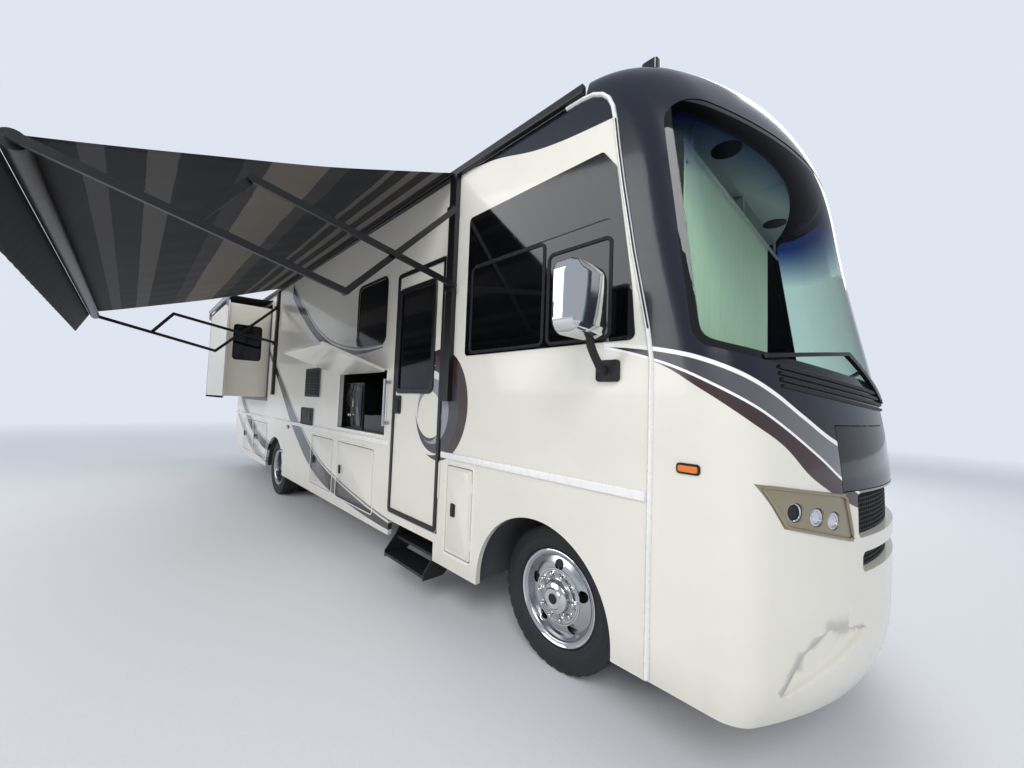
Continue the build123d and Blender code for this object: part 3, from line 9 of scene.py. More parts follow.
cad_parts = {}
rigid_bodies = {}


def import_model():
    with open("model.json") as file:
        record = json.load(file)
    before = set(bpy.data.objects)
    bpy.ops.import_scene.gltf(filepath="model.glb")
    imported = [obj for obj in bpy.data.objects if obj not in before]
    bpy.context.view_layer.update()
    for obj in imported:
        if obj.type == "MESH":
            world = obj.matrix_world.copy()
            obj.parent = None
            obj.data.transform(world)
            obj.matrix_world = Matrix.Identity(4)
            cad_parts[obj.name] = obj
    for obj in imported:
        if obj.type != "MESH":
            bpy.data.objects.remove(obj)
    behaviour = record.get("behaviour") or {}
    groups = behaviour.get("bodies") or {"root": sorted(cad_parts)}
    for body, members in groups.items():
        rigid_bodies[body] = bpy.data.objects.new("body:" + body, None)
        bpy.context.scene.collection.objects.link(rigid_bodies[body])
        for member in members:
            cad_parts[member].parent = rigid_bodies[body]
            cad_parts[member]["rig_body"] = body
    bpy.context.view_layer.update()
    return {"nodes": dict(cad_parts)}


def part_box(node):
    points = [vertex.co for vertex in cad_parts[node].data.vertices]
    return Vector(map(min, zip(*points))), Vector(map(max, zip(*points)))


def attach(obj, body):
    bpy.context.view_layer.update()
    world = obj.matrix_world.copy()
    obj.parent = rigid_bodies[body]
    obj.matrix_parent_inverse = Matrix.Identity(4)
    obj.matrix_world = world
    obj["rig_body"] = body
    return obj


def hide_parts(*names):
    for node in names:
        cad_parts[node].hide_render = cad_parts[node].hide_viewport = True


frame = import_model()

# A parked motorhome in metres. The coach's own frame has X = 0 at the front axle, Y = 0 on the centre line
# and the kerb side at -Y; place() moves a point of it to the shared frame.
COACH_SHIFT = Vector((4.1065, 1.0074, 0.0))
HALF_WIDTH = 1.275
BELT_HEIGHT = 1.31
REAR_AXLE = -6.147
TYRE_RADIUS = 0.4695
FRONT_WHEEL_Y = 0.931
REAR_OUTER_Y = 1.083
REAR_INNER_Y = 0.753
KERB_FACE = -HALF_WIDTH
DOOR = dict(rear=-1.92, front=-1.08, low=0.655, high=3.0)
KERB_BAYS = ((-0.95, -0.64, 0.556, 1.23), (-3.265, -2.29, 0.556, 1.2), (-4.22, -3.44, 0.556, 1.2),
             (-7.79, -6.75, 0.556, 1.2), (-8.74, -7.97, 0.556, 1.2))
STREET_BAYS = ((-3.2, -2.1, 0.556, 1.2), (-8.6, -7.4, 0.556, 1.2))


def place(x, y, z):
    """A point of the coach's own frame in the shared frame."""
    return Vector((x, y, z)) + COACH_SHIFT


def linear(code):
    """Linear colour of a hex code."""
    parts = [int(code[n:n + 2], 16) / 255 for n in (1, 3, 5)]
    return tuple(p / 12.92 if p <= 0.04045 else ((p + 0.055) / 1.055) ** 2.4 for p in parts) + (1.0,)


# Finishes
class Term:
    """A value in a finish's node tree, with arithmetic."""

    def __init__(self, finish, socket):
        self.finish = finish
        self.socket = socket

    def math(self, operation, other=0.0, swapped=False):
        first, second = (other, self) if swapped else (self, other)
        return self.finish.node("ShaderNodeMath", {"operation": operation}, {0: first, 1: second})

    def __add__(self, other):
        return self.math("ADD", other)

    __radd__ = __add__

    def __sub__(self, other):
        return self.math("SUBTRACT", other)

    def __rsub__(self, other):
        return self.math("SUBTRACT", other, True)

    def __mul__(self, other):
        return self.math("MULTIPLY", other)

    __rmul__ = __mul__

    def size(self):
        return self.math("ABSOLUTE")

    def least(self, other):
        return self.math("MINIMUM", other)

    def most(self, other):
        return self.math("MAXIMUM", other)

    def above(self, edge, soft=0.0015):
        """0 below the edge and 1 above it, over a soft width."""
        return self.finish.node("ShaderNodeMapRange", {"clamp": True},
                                {"Value": self - edge, "From Min": -soft, "From Max": soft})

    def below(self, edge, soft=0.0015):
        return 1.0 - self.above(edge, soft)


class Finish:
    """A material with one Principled surface, made node by node."""

    def __init__(self, name, colour="#808080", roughness=0.5, metallic=0.0, coat=0.0, **settings):
        self.material = bpy.data.materials.new(name)
        self.material.use_nodes = True
        self.tree = self.material.node_tree
        self.surface = self.tree.nodes["Principled BSDF"]
        self.output = self.tree.nodes["Material Output"]
        self.set("Base Color", linear(colour) if isinstance(colour, str) else colour)
        self.set("Roughness", roughness)
        self.set("Metallic", metallic)
        self.set("Coat Weight", coat)
        self.surface.inputs["Coat Roughness"].default_value = 0.04
        for key, value in settings.items():
            self.set(key.replace("_", " "), value)

    def set(self, key, value):
        socket = self.surface.inputs[key]
        if isinstance(value, Term):
            self.tree.links.new(value.socket, socket)
        else:
            socket.default_value = value

    def node(self, kind, settings=None, inputs=None, out=0):
        made = self.tree.nodes.new(kind)
        for key, value in (settings or {}).items():
            if key == "stops":
                ramp = made.color_ramp
                while len(ramp.elements) < len(value):
                    ramp.elements.new(0.5)
                for element, (position, colour) in zip(ramp.elements, value):
                    element.position = position
                    element.color = colour
            elif key == "curve":
                line = made.mapping.curves[0]
                while len(line.points) < len(value):
                    line.points.new(0.5, 0.5)
                for point, spot in zip(line.points, value):
                    point.location = spot
                made.mapping.update()
            else:
                setattr(made, key, value)
        for key, value in (inputs or {}).items():
            socket = made.inputs[key]
            if isinstance(value, Term):
                self.tree.links.new(value.socket, socket)
            else:
                socket.default_value = value
        return Term(self, made.outputs[out])

    def position(self):
        """X, Y and Z of the coach's own frame."""
        spot = self.node("ShaderNodeTexCoord", out=3)
        parts = self.node("ShaderNodeSeparateXYZ", inputs={0: spot})
        outputs = parts.socket.node.outputs
        x, y, z = (Term(self, outputs[n]) for n in range(3))
        return x - COACH_SHIFT.x, y - COACH_SHIFT.y, z

    def noise(self, scale, detail=3.0, roughness=0.55, stretch=(1.0, 1.0, 1.0)):
        spot = self.node("ShaderNodeTexCoord", out=3)
        spot = self.node("ShaderNodeMapping", inputs={"Vector": spot, "Scale": stretch})
        return self.node("ShaderNodeTexNoise", inputs={"Vector": spot, "Scale": scale, "Detail": detail,
                                                       "Roughness": roughness})

    def blend(self, mask, first, second):
        """First colour where the mask is 0 and the second where it is 1."""
        first, second = (linear(c) if isinstance(c, str) else c for c in (first, second))
        return self.node("ShaderNodeMix", {"data_type": "RGBA"}, {0: mask, 6: first, 7: second}, out=2)

    def curve(self, value, low, high, bottom, top, points):
        """Height of a drawn line at a value, from points (value, height)."""
        at = self.node("ShaderNodeMapRange", {"clamp": True},
                       {"Value": value, "From Min": low, "From Max": high})
        spots = [((x - low) / (high - low), (z - bottom) / (top - bottom)) for x, z in points]
        line = self.node("ShaderNodeFloatCurve", {"curve": spots}, {"Factor": 1.0, "Value": at})
        return line * (top - bottom) + bottom

    def bump(self, height, distance, strength=1.0):
        self.set("Normal", self.node("ShaderNodeBump", inputs={
            "Strength": strength, "Distance": distance, "Height": height}))

    def cover(self, share, under, over):
        """Puts a mix of two surfaces out in place of the finish's own."""
        mixed = self.node("ShaderNodeMixShader", inputs={0: share, 1: under, 2: over})
        self.tree.links.new(mixed.socket, self.output.inputs[0])


def plain_finish(name, colour, roughness, metallic=0.0, coat=0.0, grain=0.0, grain_scale=300.0, wear=0.06,
                 stretch=(1.0, 1.0, 1.0), **settings):
    """A moulded, painted or metal finish with small changes of tone and gloss over it."""
    made = Finish(name, colour, roughness, metallic, coat, **settings)
    cloud = made.noise(2.3, 4.0)
    base = linear(colour)
    dark = tuple(c * (1 - 2.2 * wear) for c in base[:3]) + (1.0,)
    light = tuple(min(1.0, c * (1 + wear)) for c in base[:3]) + (1.0,)
    made.set("Base Color", made.blend(cloud, dark, light))
    fine = made.noise(grain_scale * 0.1, 3.0, stretch=stretch)
    made.set("Roughness", fine * 0.14 + (roughness - 0.07))
    if grain:
        made.bump(made.noise(grain_scale, 2.0, stretch=stretch), grain, 0.6)
    return made.material


CREAM = "#e4dfd2"
CHARCOAL = "#3b3b3f"
BROWN = "#3a2a28"
SILVER = "#8f9093"
NAVY = "#070c1c"


# Swept bands of the sides: colour, first and last station, and upper and lower edge as (station, height)
SWEEPS = (
    (CHARCOAL, -7.0, -1.2,
     ((-7.0, 2.65), (-6.0, 2.05), (-5.0, 1.42), (-4.0, 0.92), (-2.6, 0.62), (-1.2, 0.5)),
     ((-7.0, 2.6), (-6.0, 1.86), (-5.0, 1.14), (-4.0, 0.68), (-2.6, 0.5), (-1.2, 0.49))),
    (BROWN, -9.6, -5.6,
     ((-9.6, 2.02), (-8.6, 1.48), (-7.4, 1.03), (-6.4, 0.84), (-5.6, 0.8)),
     ((-9.6, 1.9), (-8.6, 1.28), (-7.4, 0.83), (-6.4, 0.72), (-5.6, 0.79))),
    (SILVER, -9.6, -6.4,
     ((-9.6, 1.42), (-8.6, 1.02), (-7.6, 0.72), (-6.4, 0.5)),
     ((-9.6, 1.3), (-8.6, 0.86), (-7.6, 0.58), (-6.4, 0.49))),
    (CHARCOAL, -5.6, -2.2,
     ((-5.6, 3.62), (-4.9, 3.1), (-4.1, 2.62), (-3.2, 2.35), (-2.2, 2.3)),
     ((-5.6, 3.4), (-4.9, 2.92), (-4.1, 2.5), (-3.2, 2.28), (-2.2, 2.29))),
)
# Rings behind the entry door: colour, centre, outer and inner radius, and the shift of the inner edge
DOOR_RINGS = (
    (BROWN, -1.13, 1.72, 0.4, 0.33, -0.1, -0.05),
    (CHARCOAL, -1.17, 1.68, 0.32, 0.25, -0.08, 0.04),
    (SILVER, -1.22, 1.66, 0.24, 0.185, -0.045, -0.045),
)
RING_FLATNESS = 0.72
# Lower edge of the black panel below the awning rail, behind the cap
PANEL_FOOT = ((-2.3, 3.7), (-0.65, 3.62), (0.0, 3.46), (0.42, 3.41), (0.6, 3.4))
# Edges of the bands that run from the cab window's corner round the cap, from the top down
CAP_BANDS = (
    ((0.4, 2.105), (0.767, 2.053), (1.08, 1.967), (1.412, 1.846), (1.637, 1.739), (1.897, 1.628), (2.4, 1.5)),
    ((0.4, 2.1), (0.767, 1.997), (1.073, 1.865), (1.383, 1.735), (1.744, 1.56), (1.991, 1.436), (2.4, 1.3)),
    ((0.4, 2.095), (0.767, 1.987), (1.005, 1.842), (1.263, 1.702), (1.453, 1.614), (1.714, 1.449),
     (2.4, 1.25)),
)
# The windshield in side view: lower and upper rear corner, and the fall of both edges for each metre forwards
GLASS_LOW, GLASS_HIGH = (0.945, 2.072), (0.752, 3.44)
GLASS_LOW_FALL, GLASS_HIGH_FALL = 0.2993, 0.37


def gelcoat(name, graphics=True, gloss=0.2, mask_rear=0.757):
    """Body paint: cream gelcoat, swept bands and, ahead of mask_rear, the windshield's dark mask."""
    made = Finish(name, CREAM, gloss, coat=0.35)
    x, y, z = made.position()
    side = y.size()
    cloud = made.noise(1.7, 3.0)
    tone = made.blend(cloud, "#dcd7c9", "#e9e5da")
    # Darker towards the bottom of the walls, below 0.62 m, in noisy patches
    low_darkening = (z * -1.0 + 0.62).most(0.0) * made.noise(6.0, 5.0) * 1.6
    tone = made.blend(low_darkening.least(0.35), tone, "#8b8478")
    if graphics:
        along = x + HALF_WIDTH - side
        on_side = side.above(1.18, 0.002)
        for colour, low, high, upper, lower in SWEEPS:
            top = made.curve(x, low, high, 0.0, 4.0, upper)
            foot = made.curve(x, low, high, 0.0, 4.0, lower)
            mask = z.below(top) * z.above(foot) * x.above(low) * x.below(high) * on_side
            line = (z - top - 0.03).size().below(0.011, 0.001) * x.above(low) * x.below(high) * on_side
            tone = made.blend(mask, tone, colour)
            tone = made.blend(line * 0.75, tone, CHARCOAL)
        for colour, cx, cz, outer, inner, off_x, off_z in DOOR_RINGS:
            big, small = (
                ((x - px) * (x - px) + (z - pz) * (z - pz) * RING_FLATNESS).math("SQRT")
                for px, pz in ((cx, cz), (cx + off_x, cz + off_z)))
            tone = made.blend(big.below(outer) * small.above(inner) * on_side, tone, colour)
        panel_foot = made.curve(x, -2.3, 0.6, 2.8, 3.8, PANEL_FOOT)
        tone = made.blend(z.above(panel_foot) * x.above(-2.0) * on_side, tone, NAVY)
        first, second, third = (made.curve(along, 0.4, 2.4, 1.2, 2.2, line) for line in CAP_BANDS)
        front = along.above(0.47) * z.above(1.0)
        fade = made.blend(((along - 0.7) * 0.8).least(1.0).most(0.0), "#2c2c2f", "#77777a")
        tone = made.blend(z.below(second) * z.above(third) * front, tone, BROWN)
        tone = made.blend(z.below(first) * z.above(second) * front, tone, fade)
        lines = (z - first).size().below(0.011, 0.001).most((z - second).size().below(0.007, 0.001)) * front
        mask_top = z.above(first) * along.above(mask_rear) * z.above(1.0)
        tone = made.blend(mask_top, tone, NAVY)
        tone = made.blend(lines, tone, "#f3f2ee")
    made.set("Base Color", tone)
    made.set("Roughness", made.noise(40.0, 3.0) * 0.1 + (gloss - 0.05))
    made.bump(made.noise(90.0, 2.0), 0.0004, 0.25)
    return made.material


def windshield_glass():
    """Clear laminated glass with a black border and a blue band along its top."""
    made = Finish("windshield_glass", "#05070a", 0.02, coat=0.0)
    x, _, z = made.position()
    rear_edge = (x - GLASS_LOW[0]) * 0.9902 + (z - GLASS_LOW[1]) * 0.1397
    top_edge = (GLASS_HIGH[1] - z - (x - GLASS_HIGH[0]) * GLASS_HIGH_FALL) * 0.938
    foot_edge = z - GLASS_LOW[1] + (x - GLASS_LOW[0]) * GLASS_LOW_FALL
    edge = rear_edge
    for other in (top_edge, foot_edge):
        edge = made.node("ShaderNodeMath", {"operation": "SMOOTH_MIN"}, {0: edge, 1: other, 2: 0.1})
    border = edge.below(0.035, 0.002)
    band = top_edge.below(0.26, 0.16)
    clear = made.node("ShaderNodeBsdfTransparent", inputs={"Color": made.blend(band, "#eef7f3", "#5f79a8")})
    # Only the glass's outer side mirrors: the light that leaves its inner side goes straight on
    outside = 1.0 - made.node("ShaderNodeNewGeometry", out=6)
    fresnel = made.node("ShaderNodeFresnel", inputs={"IOR": 1.5})
    made.cover((fresnel * outside).most(border).least(1.0), clear, Term(made, made.surface.outputs[0]))
    return made.material


# Stripes of the awning cloth, from the wall out: share of the way at which each begins, and its colour
AWNING_STRIPES = (
    (0.0, "#1a1b1f"), (0.04, "#7b746c"), (0.085, "#1c1d21"), (0.135, "#6f6962"), (0.175, "#1c1d21"),
    (0.225, "#66615b"), (0.25, "#1f2024"), (0.375, "#3d3b3c"), (0.43, "#716a62"), (0.58, "#38373a"),
    (0.64, "#17181c"), (0.765, "#54514f"), (0.82, "#1a1b1f"), (0.885, "#46444a"), (0.925, "#17181c"),
)


def awning_fabric(name):
    """Acrylic awning cloth with broad and narrow stripes along the coach and a fine weave."""
    made = Finish(name, "#242529", 0.78)
    x, y, _ = made.position()
    way = (-1.318 - y) * 0.448 + (made.noise(26.0, 2.0) - 0.5) * 0.006
    stops = tuple((at, linear(colour)) for at, colour in AWNING_STRIPES)
    stripes = made.node("ShaderNodeValToRGB", {"stops": stops}, {0: way})
    stripes.socket.node.color_ramp.interpolation = "CONSTANT"
    weave = (x * 2600.0).math("SINE") * (y * 2600.0).math("SINE")
    made.set("Base Color", made.blend(made.noise(5.0, 4.0) * 0.16, stripes, "#3c3b3a"))
    made.bump(weave, 0.0002, 0.3)
    return made.material


def brushed(name, colour, roughness=0.25, stretch=(1.0, 1.0, 1.0)):
    made = Finish(name, colour, roughness, metallic=1.0)
    lines = made.noise(160.0, 3.0, stretch=stretch)
    made.set("Roughness", lines * 0.16 + (roughness - 0.08))
    made.set("Base Color", made.blend(made.noise(3.0, 3.0), colour, "#b9babc"))
    made.bump(lines, 0.0002, 0.2)
    return made.material


def tyre_rubber():
    made = Finish("tyre_rubber", "#141416", 0.62)
    dust = made.noise(9.0, 5.0)
    made.set("Base Color", made.blend(dust, "#0f0f11", "#26262a"))
    made.set("Roughness", dust * 0.2 + 0.52)
    made.bump(made.noise(420.0, 2.0), 0.0004, 0.4)
    return made.material


cream_plain = gelcoat("cream_gelcoat_plain", graphics=False)
cream_paint = gelcoat("cream_gelcoat")
cap_paint = gelcoat("cap_gelcoat", mask_rear=0.0)
roof_sheet = plain_finish("roof_sheet", "#ecebe6", 0.55, grain=0.0005, grain_scale=120.0)
gloss_black = plain_finish("gloss_black_panel", "#050609", 0.07, coat=0.1, wear=0.02)
dark_glass = plain_finish("dark_glass", "#04060a", 0.07, coat=0.1, wear=0.02)
frame_black = plain_finish("satin_black_frame", "#101113", 0.34, grain=0.0002)
moulded_black = plain_finish("moulded_black", "#131416", 0.55, grain=0.0005, grain_scale=420.0)
rubber = plain_finish("seal_rubber", "#0d0d0e", 0.7, grain=0.0003)
white_bead = plain_finish("white_bead", "#efeeea", 0.28, coat=0.3)
chrome = plain_finish("chrome", "#d9dadb", 0.07, metallic=1.0, wear=0.02)
alloy = brushed("satin_alloy", "#b4b5b7", 0.3)
wheel_steel = brushed("polished_wheel", "#aeb0b4", 0.2)
kitchen_steel = brushed("kitchen_steel", "#8f9193", 0.3, (1.0, 1.0, 14.0))
bay_black = plain_finish("kitchen_black", "#111214", 0.35, coat=0.1, grain=0.0003)
chassis_paint = plain_finish("chassis_paint", "#16171a", 0.5, grain=0.0006, wear=0.15)
cast_metal = plain_finish("cast_metal", "#4a4c4f", 0.6, metallic=0.4, grain=0.001, wear=0.15)
tank_plastic = plain_finish("tank_plastic", "#2c2e31", 0.55, grain=0.0005)
bin_plastic = plain_finish("bin_plastic", "#47494c", 0.6, grain=0.0006)
floor_vinyl = plain_finish("floor_vinyl", "#645d54", 0.5, grain=0.0004)
dash_plastic = plain_finish("dash_plastic", "#232222", 0.6, grain=0.0006, grain_scale=500.0)
seat_leather = plain_finish("seat_leather", "#8a7863", 0.45, grain=0.0008, grain_scale=350.0, wear=0.1)


def marker_lens():
    """Lamp plastic: amber along the sides, red at the rear and smoked on the brow."""
    made = Finish("marker_lens", "#e0701a", 0.12, coat=0.5)
    x, _, z = made.position()
    tone = made.blend(x.below(-9.5), made.blend(made.noise(8.0), "#d9660f", "#ef8a25"), "#9c1512")
    made.set("Base Color", made.blend(z.above(3.7) * x.above(0.0), tone, "#15110f"))
    return made.material


marker_plastic = marker_lens()
champagne = plain_finish("champagne_bezel", "#9b9079", 0.32, metallic=0.55, coat=0.3)
lens_clear = plain_finish("clear_lens", "#c9ced3", 0.05, metallic=0.3, coat=0.8)
# Pale curtain cloth with a faint emission: painted light, a glow that stands in for the daylight falling on
# the curtain through the windshield
curtain_cloth = plain_finish("curtain_cloth", "#dbe6cf", 0.85, grain=0.0005, grain_scale=700.0,
                             Emission_Color=linear("#dbe6cf"), Emission_Strength=0.12)
awning_cloth_finish = awning_fabric("awning_fabric")
topper_fabric = plain_finish("topper_fabric", "#2a2b30", 0.8, grain=0.0005, grain_scale=700.0)
tyre_black = tyre_rubber()
glass_front = windshield_glass()

NODE_FINISHES = (
    (cap_paint, "front_cap"), (gloss_black, "hood window_frames"), (glass_front, "windshield"),
    (champagne, "headlamp_bezels"), (lens_clear, "headlamps"), (moulded_black, "grille"),
    (cream_paint, "side_wall_kerb side_wall_street skirt_kerb skirt_street entry_door"),
    (roof_sheet, "roof roof_units"), (cream_plain, "rear_cap kitchen_hatch slide_room"),
    (floor_vinyl, "floor"), (bin_plastic, "wells_and_bins"), (bay_black, "kitchen_bay"),
    (dark_glass, "side_glass entry_door_glass slide_glass"), (alloy, "topper_roller body_fittings"),
    (topper_fabric, "topper_cloth"), (frame_black, "awning_rails awning_arms awning_roller wipers"),
    (awning_cloth_finish, "awning_cloth"), (chassis_paint, "entry_step chassis_frame front_axle rear_axle"),
    (cast_metal, "engine_block knuckle_kerb knuckle_street"), (tank_plastic, "tanks"), (chrome, "mirrors"),
    (marker_plastic, "marker_lamps"), (dash_plastic, "dashboard"), (seat_leather, "cab_seats"),
    (curtain_cloth, "cab_curtain"),
    (wheel_steel, "front_rim_kerb front_rim_street rear_rims_kerb rear_rims_street"),
    (tyre_black, "front_tyre_kerb front_tyre_street rear_tyres_kerb rear_tyres_street"),
)
node_finishes = {name: finish for finish, names in NODE_FINISHES for name in names.split()}
for node_name in frame["nodes"]:
    if node_name.startswith("bay_door"):
        node_finishes[node_name] = cream_paint
for node_name, item in frame["nodes"].items():
    item.data.materials.clear()
    item.data.materials.append(node_finishes[node_name])


# Shapes
X, Y, Z = Vector((1, 0, 0)), Vector((0, 1, 0)), Vector((0, 0, 1))
# Sign, name and level direction of each side, seen from outside
SIDES = ((-1, "kerb", X), (1, "street", -X))


def around(width, height, reach, turns):
    """Points (along, up) round a rounded rectangle, with as many to each corner as turns."""
    points = []
    for sx, sy, start in ((1, 1, 0.0), (-1, 1, pi / 2), (-1, -1, pi), (1, -1, 1.5 * pi)):
        for k in range(turns):
            angle = start + (pi / 2 * k / (turns - 1) if turns > 1 else pi / 4)
            points.append((sx * (width / 2 - reach) + reach * cos(angle),
                           sy * (height / 2 - reach) + reach * sin(angle)))
    return points


class Shape:
    """Mesh of one piece, gathered from simple forms and finished once."""

    def __init__(self):
        self.bm = bmesh.new()

    def bridge(self, low, high):
        """Faces between two closed rings of equal count."""
        count = len(low)
        for k in range(count):
            self.bm.faces.new((low[k], low[(k + 1) % count], high[(k + 1) % count], high[k]))

    def sweep(self, points, radius, sides=10, closed=False, flat=1.0, up=Z):
        """A tube along points; flat squeezes its section along the turn of up."""
        points = [Vector(p) for p in points]
        rings = []
        count = len(points)
        for n, point in enumerate(points):
            ahead = points[(n + 1) % count] if closed or n < count - 1 else point
            behind = points[n - 1] if closed or n > 0 else point
            run = (ahead - behind).normalized()
            across = run.cross(up)
            if across.length < 1e-4:
                across = run.cross(X)
            across.normalize()
            rise = across.cross(run).normalized()
            turns = [2 * pi * k / sides for k in range(sides)]
            rings.append([self.bm.verts.new(point + radius * (cos(turn) * across * flat + sin(turn) * rise))
                          for turn in turns])
        for n in range(count if closed else count - 1):
            self.bridge(rings[n], rings[(n + 1) % count])
        if not closed:
            self.bm.faces.new(rings[0][::-1])
            self.bm.faces.new(rings[-1])
        return self

    def levels(self, centre, across, up, width, height, steps, rows):
        """Rings over a plane, one for each row of (inset, corner radius, height over the plane)."""
        across, up = Vector(across).normalized(), Vector(up).normalized()
        out = across.cross(up)
        return [[self.bm.verts.new(Vector(centre) + out * level + across * along + up * rise)
                 for along, rise in around(width - 2 * inset, height - 2 * inset, reach, steps)]
                for inset, reach, level in rows]

    def plate(self, centre, across, up, width, height, depth, corner=0.0, edge=0.0, steps=5):
        """A slab with rounded corners that stands on a plane and rises along across x up."""
        rows = [(0.0, 0.0), (0.0, max(depth - edge, 0.0))]
        if edge:
            rows += [(edge * 0.3, depth - edge * 0.3), (edge, depth)]
        rings = self.levels(centre, across, up, width, height, steps if corner else 1, [
            (inset, max(corner - inset, 0.0005) if corner else 0.0005, level) for inset, level in rows])
        for low, high in zip(rings, rings[1:]):
            self.bridge(low, high)
        self.bm.faces.new(rings[0][::-1])
        self.bm.faces.new(rings[-1])
        return self

    def border(self, centre, across, up, width, height, corner, band, depth, steps=6):
        """A flat frame round a rounded rectangle, standing proud of a plane."""
        rows = ((0.0, 0.0), (0.0, depth * 0.7), (depth * 0.3, depth), (band - depth * 0.3, depth),
                (band, depth * 0.7), (band, 0.0))
        rings = self.levels(centre, across, up, width, height, steps, [
            (inset, max(corner - inset, 0.001), level) for inset, level in rows])
        for low, high in zip(rings, rings[1:] + rings[:1]):
            self.bridge(low, high)
        return self

    def ring(self, centre, across, up, width, height, corner, radius, flat=1.0, steps=6):
        """A bead round a rounded rectangle."""
        across, up = Vector(across).normalized(), Vector(up).normalized()
        points = [Vector(centre) + across * along + up * rise
                  for along, rise in around(width, height, corner, steps)]
        return self.sweep(points, radius, 8, True, flat, across.cross(up))

    def lathe(self, centre, axis, profile, steps=48):
        """A turned form from (along, radius) pairs; a radius of 0 closes an end."""
        axis = Vector(axis).normalized()
        centre = Vector(centre)
        first = axis.cross(X)
        if first.length < 0.1:
            first = axis.cross(Z)
        first.normalize()
        second = axis.cross(first)
        rings = []
        for along, radius in profile:
            spot = centre + axis * along
            turns = [0.0] if radius < 1e-6 else [2 * pi * k / steps for k in range(steps)]
            rings.append([self.bm.verts.new(spot + radius * (cos(turn) * first + sin(turn) * second))
                          for turn in turns])
        for low, high in zip(rings, rings[1:]):
            if len(low) > 1 and len(high) > 1:
                self.bridge(low, high)
            elif len(low) > 1 or len(high) > 1:
                for k in range(steps):
                    n = (k + 1) % steps
                    corners = (low[0], high[n], high[k]) if len(low) == 1 else (low[k], low[n], high[0])
                    self.bm.faces.new(corners)
        return self

    def button(self, centre, axis, radius, depth, steps=20):
        """A small turned disc with a bevelled edge."""
        return self.lathe(centre, axis, ((0, 0), (0, radius), (depth, radius - 0.001), (depth, 0)), steps)

    def mesh(self, name):
        bmesh.ops.remove_doubles(self.bm, verts=self.bm.verts, dist=1e-6)
        bmesh.ops.recalc_face_normals(self.bm, faces=self.bm.faces)
        mesh = bpy.data.meshes.new(name)
        self.bm.to_mesh(mesh)
        self.bm.free()
        return mesh

    def finish(self, name, body, slot, material, replaces=(), sharp=35.0):
        """Closes the piece: outward faces, smooth shading, its finish, and the body that it rides on."""
        return settle(name, self.mesh(name), body, material, replaces, sharp)


def settle(name, mesh, body, material, replaces=(), sharp=35.0):
    """Puts a finished mesh in the scene as a piece of a body."""
    mesh.shade_smooth()
    mesh.set_sharp_from_angle(angle=radians(sharp))
    mesh.materials.clear()
    mesh.materials.append(material)
    item = bpy.data.objects.new(name, mesh)
    bpy.context.scene.collection.objects.link(item)
    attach(item, body)
    if replaces:
        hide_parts(*replaces)
    return item


def smoothed(node, name, material, sharp=28.0):
    """A merged, smooth-shaded copy of a CAD node that stands for it."""
    source = frame["nodes"][node]
    bm = bmesh.new()
    bm.from_mesh(source.data)
    bmesh.ops.remove_doubles(bm, verts=bm.verts, dist=2e-5)
    mesh = bpy.data.meshes.new(name)
    bm.to_mesh(mesh)
    bm.free()
    return settle(name, mesh, source["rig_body"], material, (node,), sharp)


# Smooth copies of the curved pieces
for node_name in ("front_cap", "hood", "windshield", "rear_cap", "roof", "headlamp_bezels",
                  "marker_lamps", "front_rim_kerb", "front_rim_street", "rear_rims_kerb", "rear_rims_street"):
    smoothed(node_name, node_name + "_shell", node_finishes[node_name])


# What repeats
class Pattern:
    """A node tree with named sizes that repeats a form, baked to a plain mesh."""

    KINDS = {int: "NodeSocketInt", float: "NodeSocketFloat", Vector: "NodeSocketVector",
             bpy.types.Material: "NodeSocketMaterial"}

    def __init__(self, name, **sizes):
        self.group = bpy.data.node_groups.new(name, "GeometryNodeTree")
        sockets = self.group.interface
        sockets.new_socket("Form", in_out="INPUT", socket_type="NodeSocketGeometry")
        self.keys = {
            key: sockets.new_socket(key, in_out="INPUT", socket_type=self.KINDS[kind]).identifier
            for key, kind in sizes.items()}
        sockets.new_socket("Result", in_out="OUTPUT", socket_type="NodeSocketGeometry")
        self.source = self.group.nodes.new("NodeGroupInput")
        self.target = self.group.nodes.new("NodeGroupOutput")

    def given(self, name):
        return self.source.outputs[name]

    def node(self, kind, settings=None, inputs=None):
        made = self.group.nodes.new(kind)
        for key, value in (settings or {}).items():
            setattr(made, key, value)
        for key, value in (inputs or {}).items():
            if isinstance(value, bpy.types.NodeSocket):
                self.group.links.new(value, made.inputs[key])
            else:
                made.inputs[key].default_value = value
        return made.outputs[0]

    def repeat(self, points):
        """Sets the form on each point and closes the tree."""
        instances = self.node("GeometryNodeInstanceOnPoints", inputs={
            "Points": points, "Instance": self.given("Form")})
        real = self.node("GeometryNodeRealizeInstances", inputs={0: instances})
        coated = self.node("GeometryNodeSetMaterial", inputs={
            "Geometry": real, "Material": self.given("Finish")})
        self.group.links.new(coated, self.target.inputs[0])

    def bake(self, shape, name, offset, **values):
        """The repeated form as a plain mesh, moved to its place."""
        item = bpy.data.objects.new("pattern_base", shape.mesh(name + "_form"))
        bpy.context.scene.collection.objects.link(item)
        modifier = item.modifiers.new("pattern", "NODES")
        modifier.node_group = self.group
        for key, value in values.items():
            modifier[self.keys[key]] = value
        graph = bpy.context.evaluated_depsgraph_get()
        baked = bpy.data.meshes.new_from_object(item.evaluated_get(graph))
        item.modifiers.remove(modifier)
        bpy.data.objects.remove(item)
        baked.transform(Matrix.Translation(offset))
        return baked


row_pattern = Pattern("row_of_forms", Count=int, Step=Vector, Finish=bpy.types.Material)
row_pattern.repeat(row_pattern.node("GeometryNodeMeshLine", {"mode": "OFFSET"}, {
    "Count": row_pattern.given("Count"), "Offset": row_pattern.given("Step")}))

